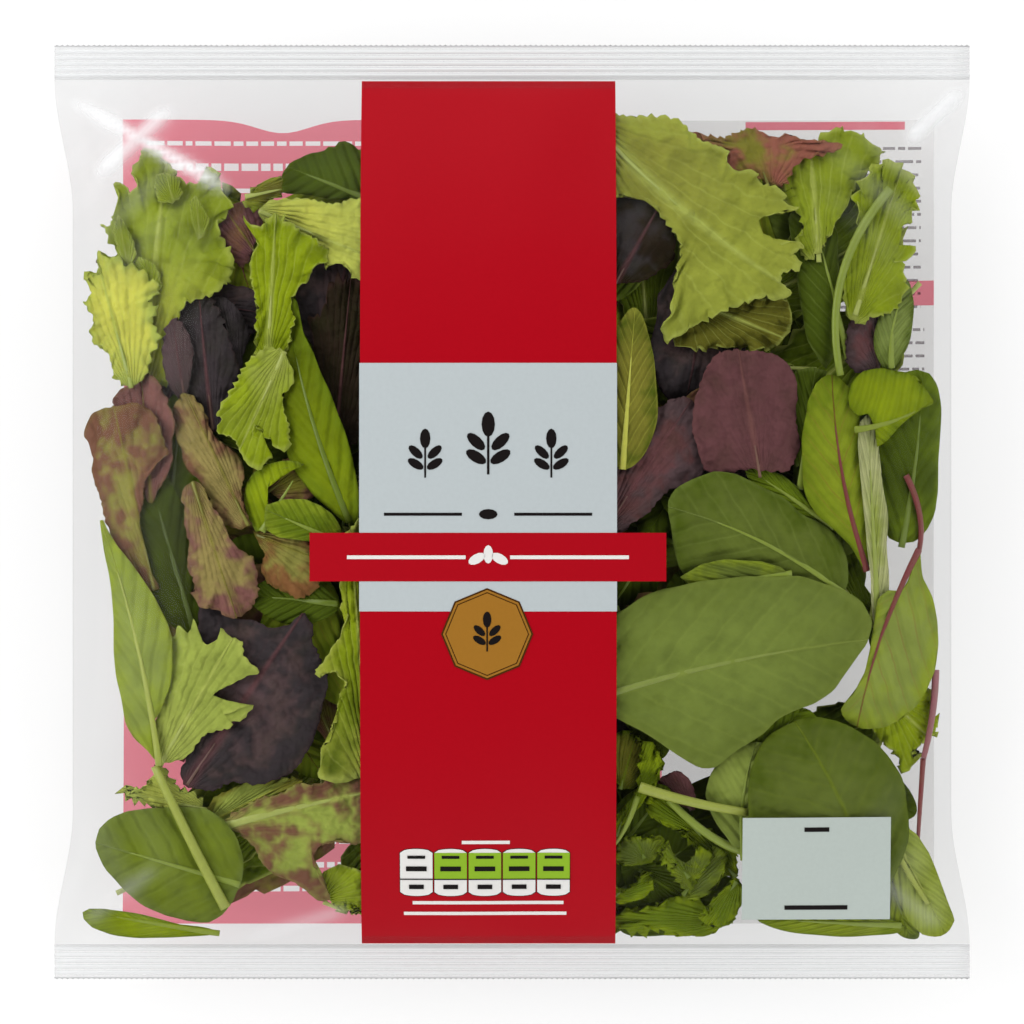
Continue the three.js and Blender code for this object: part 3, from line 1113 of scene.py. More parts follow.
# Baby chard: long leaves with red ribs and veins.
CHARD = {
    "fan": -0.1,
    "point": 0.08,
    "shade": "fresh",
    "edge": "leaf green",
    "vein": "red stem",
    "ruffle": 0.9,
}
chard = [
    Leaf.outlined(2, (868, 572), (832, 376), 31, (
        (838, 376), (828, 376), (816, 384), (807, 400), (805, 418), (802, 440), (802, 465), (804, 485),
        (808, 500), (817, 515), (830, 526), (840, 536), (852, 548), (866, 572), (872, 560), (874, 535),
        (872, 500), (868, 470), (864, 440), (858, 410), (850, 386),
    ), CHARD, bend=-2),
    Leaf.outlined(1, (921, 550), (858, 728), 32, (
        (921, 545), (925, 580), (935, 600), (940, 622), (941, 645), (937, 672), (929, 692), (918, 708),
        (903, 721), (885, 728), (865, 731), (850, 724), (840, 712), (847, 701), (857, 690), (866, 672),
        (871, 650), (874, 625), (878, 600), (890, 590), (903, 592), (912, 580), (917, 560),
    ), CHARD, bend=2, shade="pale leaf", edge="fresh", cup=0.6),
    Leaf.outlined(1, (855, 430), (936, 400), 33, (
        (848, 398), (852, 380), (862, 371), (885, 368), (905, 371), (920, 377), (930, 390), (938, 402),
        (925, 408), (912, 417), (900, 427), (888, 440), (879, 448), (876, 430), (868, 414), (858, 416),
        (850, 410),
    ), CHARD, bend=1.5, shade="lime", vein="fresh", edge="leaf green", cup=1.6, ruffle=1.6),
    Leaf.outlined(1, (880, 640), (868, 414), 34, (
        (861, 420), (868, 413), (877, 418), (880, 440), (882, 470), (886, 500), (889, 530), (888, 560),
        (890, 590), (888, 615), (880, 640), (873, 620), (872, 590), (870, 560), (866, 530), (864, 500),
        (860, 470), (858, 445),
    ), CHARD, shade="light green", edge="white rib", spread=0.5, vein="light green", cup=-0.8, blister=0.05,
        ruffle=0.3),
]

# Green lettuce: frilly fans with pale ribs and ragged edges.
FRILL = {
    "fan": 0.3,
    "neck": 0.35,
    "lobe": 0.3,
    "lobes": 9,
    "teeth": 0.14,
    "tooth_count": 31,
    "ruffle": 2.8,
    "ruffles": 11,
    "fold_over": 1.6,
    "crumple": 0.8,
    "blister": 0.6,
    "blister_reach": 7.0,
    "nibble": 1.6,
    "shade": "fresh",
    "edge": "lime",
    "vein": "pale rib",
    "spread": 0.1,
    "rib": 0.45,
    "stalk_radius": 0.75,
    "step": FRILLY_STEP,
}
TANGLE = {
    **FRILL,
    "nibble": 0.7, "shade": "spinach", "edge": "lime", "vein": "leaf green", "ruffle": 1.8, "rib": 0.2,
}
LOBE = {
    **FRILL,
    "nibble": 0.3, "edge": "light green", "ruffle": 0.5, "fold_over": 0.1, "cup": 1.4, "stalk_radius": 0,
    "rib": 0.1,
}
BIG_FRILL = {**FRILL, "ruffles": 19, "ruffle": 2.6, "fold_over": 1.0}
green_lettuce = [
    Leaf.outlined(3, (140, 392), (165, 150), 51, (
        (168, 388), (150, 382), (124, 388), (114, 378), (108, 355), (100, 346), (92, 342), (88, 330),
        (94, 320), (90, 312), (82, 302), (93, 296), (88, 284), (79, 271), (90, 276), (97, 272), (96, 262),
        (97, 249), (106, 260), (118, 256), (110, 243), (103, 236), (96, 221), (105, 228), (109, 214),
        (117, 204), (113, 192), (112, 179), (122, 192), (132, 192), (130, 178), (134, 163), (142, 152),
        (148, 146), (158, 150), (167, 160), (170, 170), (180, 180), (194, 183), (206, 168), (214, 166),
        (220, 176), (217, 188), (228, 200), (236, 203), (224, 214), (216, 224), (218, 236), (228, 248),
        (238, 264), (228, 276), (222, 288), (206, 295), (190, 298), (178, 312), (172, 322), (164, 330),
        (164, 352), (170, 372),
    ), BIG_FRILL, nibble=1.0, heart="pale frill", heart_reach=0.6, shade="fresh", edge="fresh", cup=2.5),
    Leaf.outlined(3, (258, 210), (380, 262), 53, (
        (258, 212), (266, 199), (276, 196), (300, 200), (330, 202), (350, 199), (378, 196), (382, 292),
        (364, 284), (352, 280), (346, 264), (338, 260), (330, 266), (325, 274), (324, 262), (329, 252),
        (320, 244), (306, 240), (290, 233), (274, 226), (262, 220),
    ), FRILL, nibble=0.5, fold_over=0.4, ruffle=1.2, shade="yellow green", edge="yellow green",
        heart="pale frill", heart_reach=0.9, cup=1.2),
    Leaf.outlined(2, (268, 356), (275, 214), 54, (
        (243, 215), (256, 226), (263, 221), (272, 213), (285, 216), (300, 236), (318, 243), (329, 252),
        (324, 262), (314, 266), (309, 280), (302, 286), (298, 292), (291, 300), (293, 318), (290, 340),
        (287, 358), (268, 360), (254, 354), (255, 330), (257, 308), (254, 290), (249, 275), (246, 262),
        (253, 250), (258, 240), (250, 231),
    ), FRILL, shade="lime", nibble=1.0, fold_over=0.8),
    Leaf.outlined(1, (285, 352), (235, 460), 56, (
        (262, 345), (285, 350), (293, 370), (290, 388), (284, 397), (286, 410), (291, 422), (286, 438),
        (288, 451), (279, 452), (269, 440), (261, 428), (254, 420), (252, 427), (258, 440), (266, 450),
        (277, 459), (266, 462), (258, 471), (249, 465), (243, 460), (240, 449), (235, 440), (226, 438),
        (216, 432), (222, 420), (217, 412), (226, 399), (235, 385), (243, 372), (252, 358),
    ), FRILL, shade="fresh", nibble=0.8, fold_over=0.3, ruffle=1.4, heart="pale rib"),
    Leaf.outlined(2, (158, 768), (232, 640), 57, (
        (156, 768), (184, 757), (198, 742), (206, 735), (220, 731), (233, 728), (228, 722), (242, 722),
        (247, 712), (255, 704), (244, 706), (232, 714), (221, 718), (214, 704), (203, 700), (214, 692),
        (228, 688), (242, 680), (260, 675), (252, 667), (244, 658), (240, 642), (228, 637), (222, 627),
        (216, 640), (205, 648), (198, 640), (194, 617), (189, 632), (184, 634), (180, 622), (175, 636),
        (164, 634), (165, 660), (160, 700), (150, 735),
    ), FRILL, nibble=0.4, fold_over=0.2, ruffle=0.9, shade="light green", edge="light green",
        heart="pale rib"),
    Leaf.outlined(5, (205, 812), (116, 792), 59, (
        (115, 792), (130, 796), (141, 790), (150, 780), (156, 766), (166, 774), (175, 790), (200, 800),
        (205, 812), (180, 815), (150, 810), (132, 804),
    ), FRILL, nibble=0.5, shade="yellow green", edge="light green", ruffle=0.8),
    Leaf.outlined(2, (370, 780), (352, 545), 60, (
        (342, 585), (344, 555), (345, 526), (358, 520), (372, 520), (376, 600), (376, 770), (360, 778),
        (342, 782), (322, 780), (316, 770), (323, 752), (331, 735), (336, 715), (341, 695), (344, 682),
        (336, 670), (328, 674), (320, 682), (318, 665), (328, 654), (339, 644), (346, 630), (346, 610),
    ), FRILL, nibble=0.8, shade="lime", edge="bright", heart="deep spinach", heart_reach=0.7, ruffle=1.6),
    Leaf.outlined(6, (158, 622), (176, 566), 61, (
        (168, 584), (174, 592), (180, 600), (186, 596), (178, 610), (172, 625), (165, 632), (158, 620),
        (164, 604),
    ), FRILL),
    Leaf.outlined(2, (598, 128), (784, 285), 62, (
        (596, 110), (617, 114), (640, 114), (664, 114), (678, 118), (688, 128), (700, 138), (713, 145),
        (733, 147), (722, 158), (740, 170), (762, 170), (758, 181), (774, 184), (789, 187), (781, 198),
        (793, 204), (805, 208), (780, 212), (760, 214), (755, 224), (764, 238), (782, 246), (809, 242),
        (790, 256), (808, 264), (798, 271), (779, 272), (788, 286), (790, 300), (772, 297), (758, 298),
        (742, 304), (723, 311), (708, 318), (690, 327), (666, 349), (661, 332), (667, 315), (669, 300),
        (677, 280), (681, 262), (680, 246), (674, 232), (664, 216), (650, 203), (633, 194), (616, 196),
        (596, 200),
    ), BIG_FRILL, bend=2, nibble=1.0, ruffle=1.8, fold_over=0.7, cup=2.2, shade="bright", edge="bright",
        heart="olive", heart_reach=0.75),
    Leaf.outlined(5, (820, 262), (812, 140), 63, (
        (783, 158), (795, 149), (812, 152), (825, 141), (829, 129), (840, 127), (850, 133), (862, 130),
        (874, 139), (886, 147), (876, 165), (864, 182), (852, 200), (838, 216), (826, 240), (812, 262),
        (800, 250), (806, 228), (800, 212), (789, 205), (782, 194), (786, 184), (779, 170),
    ), FRILL, nibble=1.0, shade="fresh", edge="fresh", ruffle=1.8),
    Leaf.outlined(3, (856, 315), (905, 165), 64, (
        (862, 178), (878, 163), (893, 159), (906, 165), (916, 178), (920, 192), (917, 210), (911, 222),
        (901, 232), (896, 244), (905, 247), (917, 245), (908, 256), (897, 258), (906, 268), (910, 280),
        (904, 296), (892, 310), (878, 318), (862, 326), (848, 318), (845, 300), (842, 282), (850, 262),
        (856, 240), (860, 220), (858, 200),
    ), FRILL, nibble=0.8, shade="fresh", edge="lime", ruffle=1.6, blister=0.9),
    Leaf.outlined(6, (690, 300), (788, 340), 65, (
        (672, 345), (690, 322), (720, 306), (752, 298), (788, 298), (792, 312), (788, 332), (778, 346),
        (758, 352), (738, 346), (716, 348), (696, 352),
    ), FRILL, nibble=0.8, shade="olive green", edge="olive green"),
    Leaf.outlined(6, (890, 700), (938, 745), 66, (
        (928, 688), (936, 704), (932, 714), (942, 724), (938, 736), (924, 744), (916, 752), (921, 764),
        (911, 764), (906, 777), (899, 761), (892, 750), (884, 740), (874, 728), (880, 700), (905, 690),
    ), FRILL, nibble=1.2, shade="lime", edge="lime"),
    Leaf.outlined(4, (645, 860), (636, 838), 67, (
        (613, 864), (617, 850), (627, 837), (645, 839), (664, 837), (661, 850), (653, 862), (634, 866),
    ), TANGLE, ruffle=1.6),
    Leaf.outlined(3, (690, 880), (662, 846), 68, (
        (659, 850), (665, 845), (671, 860), (679, 873), (690, 871), (701, 867), (694, 859), (702, 849),
        (710, 846), (713, 854), (706, 870), (700, 881), (689, 891), (677, 881), (667, 868),
    ), TANGLE),
    Leaf.outlined(4, (684, 898), (721, 850), 69, (
        (720, 848), (726, 862), (723, 877), (715, 889), (706, 899), (694, 899), (680, 901), (690, 891),
        (700, 882), (708, 869), (712, 857),
    ), TANGLE),
    Leaf.outlined(3, (738, 884), (708, 928), 70, (
        (737, 878), (745, 893), (746, 908), (738, 922), (722, 931), (707, 933), (704, 922), (711, 908),
        (718, 895), (728, 885),
    ), TANGLE, shade="leaf green"),
    Leaf.outlined(4, (612, 900), (655, 875), 71, (
        (610, 888), (625, 892), (640, 884), (655, 872), (652, 888), (641, 901), (625, 906), (610, 903),
    ), TANGLE, shade="leaf green"),
    Leaf.outlined(6, (735, 925), (612, 925), 72, (
        (606, 925), (625, 913), (645, 910), (665, 904), (690, 903), (715, 911), (738, 922), (722, 932),
        (706, 940), (690, 936), (675, 940), (656, 933), (640, 939), (622, 934),
    ), TANGLE, shade="leaf green", ruffle=2.4, nibble=1.6),
    Leaf.outlined(4, (616, 838), (650, 745), 73, (
        (645, 742), (658, 752), (663, 765), (656, 780), (646, 795), (633, 815), (621, 831), (613, 843),
        (615, 825), (630, 805), (639, 785), (641, 765),
    ), TANGLE, shade="leaf green", cup=0.5),
    Leaf.outlined(5, (620, 790), (636, 735), 76, (
        (608, 738), (625, 733), (641, 741), (649, 755), (646, 776), (638, 791), (624, 792), (608, 776),
    ), TANGLE, shade="olive green", edge="dark green"),
    Leaf.outlined(5, (702, 836), (650, 795), 77, (
        (645, 798), (661, 792), (677, 803), (692, 818), (705, 835), (685, 832), (664, 824), (648, 818),
    ), TANGLE, shade="leaf green"),
    Leaf.outlined(6, (738, 880), (695, 835), 78, (
        (684, 833), (705, 830), (722, 840), (738, 858), (740, 884), (724, 880), (708, 864), (692, 848),
    ), TANGLE, shade="deep spinach"),
    Leaf.outlined(6, (640, 872), (690, 905), 79, (
        (622, 862), (650, 862), (675, 872), (700, 885), (705, 905), (680, 912), (650, 905), (628, 890),
    ), TANGLE, shade="dark green", edge="deep spinach"),
    Leaf.outlined(2, (130, 388), (96, 262), 80, (
        (124, 388), (114, 378), (108, 355), (100, 346), (92, 342), (88, 330), (94, 320), (90, 312),
        (82, 302), (93, 296), (88, 284), (79, 271), (90, 276), (97, 272), (96, 262), (97, 249), (106, 260),
        (118, 256), (124, 268), (131, 261), (136, 273), (143, 266), (146, 281), (153, 276), (157, 290),
        (150, 300), (160, 310), (152, 322), (161, 336), (152, 352), (146, 372), (138, 386),
    ), BIG_FRILL, nibble=1.0, shade="pale frill", edge="light green", vein="light green", ruffle=1.6,
        fold_over=0.2),
    Leaf.outlined(2, (172, 200), (164, 172), 35, (
        (150, 186), (156, 174), (167, 170), (178, 178), (180, 192), (172, 202), (158, 202),
    ), LOBE),
    Leaf.outlined(2, (199, 238), (195, 196), 36, (
        (187, 202), (194, 194), (203, 206), (208, 222), (205, 236), (197, 240), (190, 224),
    ), LOBE),
    Leaf.outlined(2, (126, 264), (116, 214), 37, (
        (109, 226), (116, 212), (125, 224), (132, 240), (134, 256), (124, 266), (113, 252),
    ), LOBE),
    Leaf.outlined(2, (150, 290), (136, 262), 38, (
        (126, 262), (138, 258), (150, 264), (158, 274), (160, 286), (150, 292), (138, 284),
    ), LOBE),
    Leaf.outlined(6, (322, 905), (362, 925), 74, (
        (318, 880), (340, 868), (362, 872), (378, 900), (372, 922), (350, 916), (330, 908),
    ), FRILL, nibble=0.6, shade="fresh", edge="lime"),
    Leaf.outlined(5, (244, 196), (330, 178), 75, (
        (240, 200), (258, 184), (275, 178), (300, 178), (322, 180), (310, 186), (285, 190), (268, 200),
        (255, 208),
    ), FRILL, nibble=0.8, shade="olive", edge="fresh", ruffle=0.8),
]

# Red lettuce: green at the base and brown or purple towards a curly edge.
BLUSH = {
    **FRILL,
    "shade": "olive", "edge": "brown", "vein": "olive", "spread": 0.5, "ruffle": 1.4, "nibble": 0.5,
    "fold_over": 0.5, "rib": 0.25, "stalk_radius": 0.5,
}
red_lettuce = [
    Leaf.outlined(1, (153, 590), (112, 404), 81, (
        (82, 442), (83, 428), (88, 416), (97, 409), (110, 404), (128, 403), (142, 408), (152, 417),
        (160, 427), (164, 440), (167, 452), (160, 461), (150, 468), (144, 480), (142, 495), (140, 512),
        (139, 528), (141, 545), (146, 560), (151, 575), (157, 591), (148, 592), (137, 580), (125, 565),
        (113, 545), (105, 525), (100, 510), (96, 495), (92, 472), (88, 452),
    ), BLUSH, shade="pale olive", edge="brown", spread=0.5, nibble=0.4, ruffle=1.8),
    Leaf.outlined(2, (150, 500), (140, 378), 82, (
        (110, 404), (113, 392), (120, 387), (132, 384), (146, 375), (156, 377), (161, 385), (168, 400),
        (174, 420), (172, 440), (174, 458), (166, 474), (156, 490), (150, 505), (138, 480), (130, 450),
    ), BLUSH, shade="wine", edge="plum", nibble=0.3),
    Leaf.outlined(2, (248, 526), (184, 392), 83, (
        (184, 391), (193, 400), (200, 412), (207, 426), (217, 436), (228, 448), (239, 460), (241, 475),
        (238, 490), (241, 505), (246, 515), (255, 526), (240, 529), (225, 525), (217, 520), (212, 505),
        (206, 490), (199, 482), (190, 475), (183, 460), (179, 445), (175, 430), (173, 415), (177, 402),
    ), BLUSH, shade="tan", edge="brown", nibble=0.4, spread=0.1, ruffle=2.2),
    Leaf.outlined(1, (192, 482), (236, 616), 84, (
        (184, 486), (195, 479), (204, 490), (211, 505), (221, 520), (231, 535), (241, 550), (251, 562),
        (259, 575), (262, 587), (258, 602), (248, 613), (233, 619), (222, 612), (210, 607), (196, 607),
        (191, 595), (196, 580), (190, 565), (187, 548), (182, 530), (184, 510), (182, 497),
    ), BLUSH, shade="tan", edge="plum", nibble=0.4, spread=0.3, cup=2.4, ruffle=2.2),
    Leaf.outlined(3, (256, 535), (318, 560), 85, (
        (254, 530), (270, 533), (282, 531), (296, 523), (307, 526), (315, 536), (322, 555), (322, 580),
        (313, 592), (298, 599), (284, 591), (270, 583), (262, 570), (265, 555), (260, 545),
    ), BLUSH, shade="pale olive", edge="rust", spread=0.5, ruffle=2.0),
    Leaf.outlined(4, (268, 492), (318, 460), 86, (
        (268, 490), (271, 475), (284, 460), (300, 451), (312, 455), (322, 470), (328, 486), (322, 497),
        (305, 503), (284, 502),
    ), BLUSH, shade="olive", edge="brown", spread=0.4),
    Leaf.outlined(3, (222, 828), (374, 792), 87, (
        (222, 826), (238, 812), (260, 800), (285, 791), (310, 784), (335, 775), (364, 768), (376, 790),
        (376, 842), (360, 847), (345, 842), (332, 840), (318, 850), (311, 868), (319, 885), (331, 898),
        (326, 906), (312, 901), (295, 889), (282, 880), (270, 873), (258, 863), (252, 850), (244, 843),
        (238, 836),
    ), BLUSH, bend=-0.5, shade="light green", edge="brown", vein="pale rib", spread=0.34, rib=0.95,
        stalk_radius=1.3, stalk=3),
    Leaf.outlined(5, (212, 822), (296, 780), 88, (
        (203, 815), (214, 800), (228, 790), (245, 782), (262, 778), (282, 779), (302, 782), (292, 796),
        (270, 802), (250, 810), (232, 824), (215, 828),
    ), BLUSH, shade="light green", edge="olive", spread=0.2, vein="pale frill"),
    Leaf.outlined(4, (770, 186), (748, 124), 89, (
        (688, 130), (705, 138), (728, 137), (744, 129), (755, 123), (766, 131), (776, 139), (790, 133),
        (802, 141), (822, 140), (848, 143), (838, 150), (815, 154), (800, 160), (794, 170), (788, 182),
        (774, 186), (764, 178), (756, 171), (738, 174), (722, 168), (703, 166), (697, 158), (708, 152),
        (734, 150), (712, 146),
    ), BLUSH, shade="olive", edge="pinkish brown", spread=0.5, nibble=1.0, ruffle=1.8, ruffles=17),
    Leaf.outlined(5, (262, 262), (222, 206), 90, (
        (214, 222), (222, 208), (234, 202), (248, 200), (256, 208), (262, 225), (256, 240), (250, 262),
        (238, 266), (228, 250), (216, 240),
    ), BLUSH, shade="brown", edge="wine"),
    Leaf(7, *read((332, 482), (350, 286)), 18, 91, BLUSH, sink=4, shade="shadow brown", edge="shadow brown",
        vein="wine"),
]

# Purple leaves: nearly black, matt and blistered.
DARK = {
    **BLUSH,
    "stalk_radius": 0.45, "shade": "purple", "edge": "black purple", "vein": "wine", "ruffle": 1.0,
    "blister": 0.7, "lobe": 0.1, "teeth": 0.05,
}
purple_leaves = [
    Leaf.outlined(4, (212, 430), (198, 292), 101, (
        (166, 322), (180, 306), (188, 294), (200, 292), (209, 296), (219, 310), (226, 330), (233, 350),
        (239, 370), (233, 390), (229, 410), (222, 428), (210, 434), (198, 430), (188, 410), (182, 395),
        (178, 370), (174, 345),
    ), DARK, shade="black purple"),
    Leaf.outlined(2, (184, 400), (172, 318), 102, (
        (164, 324), (174, 319), (182, 327), (190, 336), (196, 352), (191, 368), (187, 380), (186, 398),
        (176, 398), (168, 386), (163, 370), (163, 345),
    ), DARK, shade="purple", edge="purple"),
    Leaf(5, *read((238, 372), (218, 300)), 9, 103, DARK, cup=2.5, shade="black purple",
        vein="black purple"),
    Leaf.outlined(3, (186, 786), (300, 618), 104, (
        (238, 617), (255, 622), (270, 628), (290, 622), (305, 613), (314, 622), (313, 640), (320, 660),
        (327, 680), (324, 700), (322, 720), (314, 735), (308, 750), (302, 765), (290, 776), (275, 781),
        (258, 783), (240, 785), (225, 789), (208, 793), (195, 790), (183, 787), (179, 774), (186, 760),
        (184, 742), (190, 715), (196, 680), (196, 640), (198, 608), (215, 604),
    ), DARK, blister=1.0, cup=1.5),
    Leaf.outlined(4, (760, 478), (738, 350), 105, (
        (704, 370), (718, 356), (738, 349), (760, 351), (776, 358), (788, 370), (797, 385), (800, 402),
        (797, 422), (798, 446), (792, 462), (786, 474), (770, 472), (750, 469), (735, 472), (720, 472),
        (706, 470), (699, 452), (693, 430), (695, 410), (698, 390),
    ), DARK, shade="wine", edge="wine", vein="plum", blister=0.9, cup=1.6),
    Leaf.outlined(6, (606, 528), (690, 402), 106, (
        (600, 500), (612, 470), (626, 450), (638, 425), (654, 410), (670, 399), (688, 398), (704, 410),
        (706, 440), (704, 470), (688, 484), (670, 492), (655, 502), (640, 516), (622, 532), (600, 535),
    ), DARK, shade="wine", edge="purple"),
    Leaf.outlined(4, (612, 290), (660, 205), 107, (
        (606, 196), (633, 192), (650, 202), (665, 219), (674, 240), (670, 262), (656, 277), (640, 282),
        (622, 288), (604, 286),
    ), DARK, shade="black purple", edge="shadow brown"),
    Leaf(8, *read((692, 812), (668, 776)), 9, 109, DARK, shade="wine", edge="wine"),
    Leaf.outlined(4, (882, 375), (866, 308), 108, (
        (850, 320), (862, 310), (878, 312), (888, 324), (890, 345), (886, 362), (874, 374), (860, 374),
        (849, 362), (846, 342),
    ), DARK, shade="wine", edge="purple", cup=2.5),
]

# More leaves of each kind fill the bag behind those that show, and lie against its back.
LEAFY_EDGE = read(
    (96, 225), (112, 185), (135, 162), (160, 154), (205, 178), (235, 208), (262, 192), (290, 165),
    (340, 146), (380, 146), (420, 120), (600, 120), (660, 118), (700, 140), (745, 132), (800, 148),
    (850, 134), (890, 158), (916, 190), (903, 260), (916, 300), (918, 360), (941, 395), (938, 520),
    (905, 542), (880, 548), (895, 590), (935, 604), (938, 660), (930, 740), (908, 765), (918, 830),
    (950, 915), (940, 936), (910, 926), (760, 918), (740, 908), (700, 930), (650, 934), (620, 928),
    (400, 925), (362, 912), (325, 902), (280, 886), (232, 896), (205, 918), (150, 910), (112, 872),
    (96, 842), (122, 816), (150, 800), (165, 775), (126, 715), (116, 650), (114, 600), (104, 520),
    (98, 470), (88, 440), (96, 414), (114, 396), (112, 355), (92, 318), (90, 272),
)

# Places where the photograph shows right through the bag, between its leaves.
GAPS = read((838, 690), (680, 768), (622, 450), (896, 566))
GAP_ROOM = 4.5
FILL_SINK = {FRONT: 2.5, BACK: 0.5}
ROUND_A_LEAF = ((-1, 0), (1, 0), (0, -1), (0, 1), (0.6, 0.8), (0.6, -0.8), (-0.6, 0.8), (-0.6, -0.8))


def in_leafy_part(x, y):
    """Whether a place is inside the outline of the mass of leaves."""
    inside = False
    for (x1, y1), (x2, y2) in zip(LEAFY_EDGE, LEAFY_EDGE[1:] + LEAFY_EDGE[:1]):
        if (y1 > y) != (y2 > y) and x < (x2 - x1) * (y - y1) / (y2 - y1) + x1:
            inside = not inside
    return inside


def in_a_gap(middle, beside, length, width):
    """Whether a leaf with this middle and these sizes comes too near a gap."""
    for gap in GAPS:
        near = math.dist(middle, gap) <= length / 2 + GAP_ROOM
        if near and abs((np.array(gap) - middle) @ beside) <= width / 2 + GAP_ROOM:
            return True
    return False


def fill_leaf(draws, number, first_lay, side, sizes, kind):
    """One hidden leaf at a random place, inside the leafy part and clear of its gaps."""
    while True:
        base = np.array((draws.uniform(-112, 112), draws.uniform(-114, 104)))
        turn = draws.uniform(0, 2 * math.pi)
        length = draws.uniform(*sizes)
        width = length * draws.uniform(0.42, 0.62)
        way = np.array((math.cos(turn), math.sin(turn)))
        beside = np.array((way[1], -way[0]))
        ahead = way * length / 2
        aside = beside * width / 2
        middle = base + ahead
        round_it = [middle + ahead * share + aside * hand for share, hand in ROUND_A_LEAF]
        clear = not in_a_gap(middle, beside, length, width)
        if clear and all(in_leafy_part(*place) for place in round_it):
            break
    looks = {
        "step": FILL_STEP,
        "side": side,
        "sink": FILL_SINK[side],
        "stalk": draws.uniform(2, 8),
        "bend": draws.uniform(-2, 2),
    }
    seed = 1000 * first_lay + number
    return Leaf(first_lay + number, base, base + way * length, width, seed, kind, **looks)


# The hidden spinach and green lettuce get darker greens than those in front: painted shade for the depth at
# which they lie.
SHADED_DEEP_LEAF = {"shade": "dark green", "edge": "deep spinach", "vein": "leaf green"}
SHADED_MIDDLE_LEAF = {"shade": "deep spinach", "edge": "spinach", "vein": "leaf green"}
FILL = (
    (spinach, (30, 55), SHADED_DEEP_LEAF, 30),
    (spinach, (25, 45), SHADED_MIDDLE_LEAF, 16),
    (chard, (30, 50), CHARD, 12),
    (green_lettuce, (30, 55), {**FRILL, "shade": "leaf green", "edge": "dark green"}, 24),
    (red_lettuce, (30, 50), BLUSH, 16),
    (purple_leaves, (25, 45), DARK, 16),
)
for side, first_lay, seed in ((FRONT, 20, 5), (BACK, 1, 6)):
    draws = np.random.default_rng(seed)
    for crowd, sizes, kind, count in FILL:
        for number in range(count):
            lay = first_lay + int(draws.integers(0, 60))
            crowd.append(fill_leaf(draws, number, lay, side, sizes, kind))

# A stalk is a thin round stem that runs up the middle of its leaf and tapers out there.
STALK_SIDES = 8
STALK_STEPS = 18
STALK_END_RADIUS = 0.15
STALK_SUNK = 0.3
STALK_CLEARANCE = 0.3
STEM_FLATNESS = 0.8
RIB_FLATNESS = 0.35


class Stalk:
    """A stem through points of the bag, with a radius at its start and its end."""

    def __init__(self, lay, places, radius, end_radius, shade, leaf=None):
        self.lay = lay
        self.places = places
        self.radius = radius
        self.end_radius = end_radius
        self.shade = shade
        self.leaf = leaf
        self.side = leaf.side if leaf else FRONT

    def up_leaf(self, share):
        """How far up its leaf it has come, from below the blade to where it tapers out."""
        return -self.leaf.stalk + share * (self.leaf.stalk + self.leaf.rib * self.leaf.length)

    def line(self, share):
        """Its middle line: up its leaf, or in a soft bow through three places."""
        if self.leaf:
            along = self.up_leaf(share)
            return self.leaf.plan(self.leaf.middle_line(along), along)
        start, middle, end = (np.array(place, dtype=float) for place in self.places)
        return soft_bow(start, 2 * middle - (start + end) / 2, end, share)


free_stalks = [
    Stalk(1, ((103, 88), (89.5, 64), (89, 37)), 1.25, 1.0, "stem green"),
    Stalk(1, ((-97, -69), (-88, -88), (-78, -108)), 1.2, 1.5, "stem"),
    Stalk(2, ((107, 10), (111, -2), (110, -13)), 0.9, 0.7, "red stem"),
    Stalk(4, ((115.5, -43), (114.5, -55), (112, -67)), 1.1, 0.8, "rose stem"),
    Stalk(4, ((112, -67), (111.2, -79), (110.6, -92)), 0.8, 0.5, "red stem"),
    Stalk(1, ((34.5, -74.4), (48.5, -78.5), (64, -81.5)), 1.5, 1.1, "stem"),
    Stalk(2, ((42.5, -78), (54, -88), (64.5, -92.5)), 1.0, 1.3, "stem green"),
    Stalk(3, ((34, -77), (31, -85), (27, -91)), 0.8, 0.5, "stem green"),
    Stalk(1, ((105.5, -94), (109, -100), (113.5, -107)), 0.9, 0.6, "stem"),
    Stalk(6, ((27, 48.4), (31.7, 45.4), (36.3, 41)), 1.0, 1.0, "brown"),
    Stalk(2, ((97, -29), (99, -16), (96, 24)), 1.0, 2.0, "stem"),
]


def grown(name, crowd, make):
    """An unshaped mesh of one kind: a grid or a tube for each of its members, in order."""
    bed = bmesh.new()
    bed.loops.layers.uv.new("blade")
    start = 0
    for member in crowd:
        made = make(bed, member)
        member.slice = slice(start, start + made)
        start += made
    mesh = bpy.data.meshes.new(name)
    bed.to_mesh(mesh)
    bed.free()
    smooth(mesh)
    return mesh


def blade_grid(bed, leaf):
    """A flat square grid for one leaf. Gives its number of points."""
    grid = bmesh.ops.create_grid(bed, x_segments=leaf.steps, y_segments=leaf.steps, size=1)
    return len(grid["verts"])


def runs_along(edge):
    """Whether an edge of an upright tube leads from one end to the other."""
    return abs(edge.verts[0].co.z - edge.verts[1].co.z) > 1


def stalk_tube(bed, stalk):
    """An upright tube for one stalk, cut into short lengths. Gives its number of points."""
    size = {"segments": STALK_SIDES, "radius1": 1, "radius2": 1, "depth": 2}
    made = bmesh.ops.create_cone(bed, cap_ends=True, **size)["verts"]
    long_edges = {edge for point in made for edge in point.link_edges if runs_along(edge)}
    cut = bmesh.ops.subdivide_edges(bed, edges=list(long_edges), cuts=STALK_STEPS)["geom_inner"]
    return len(made) + sum(isinstance(part, bmesh.types.BMVert) for part in cut)


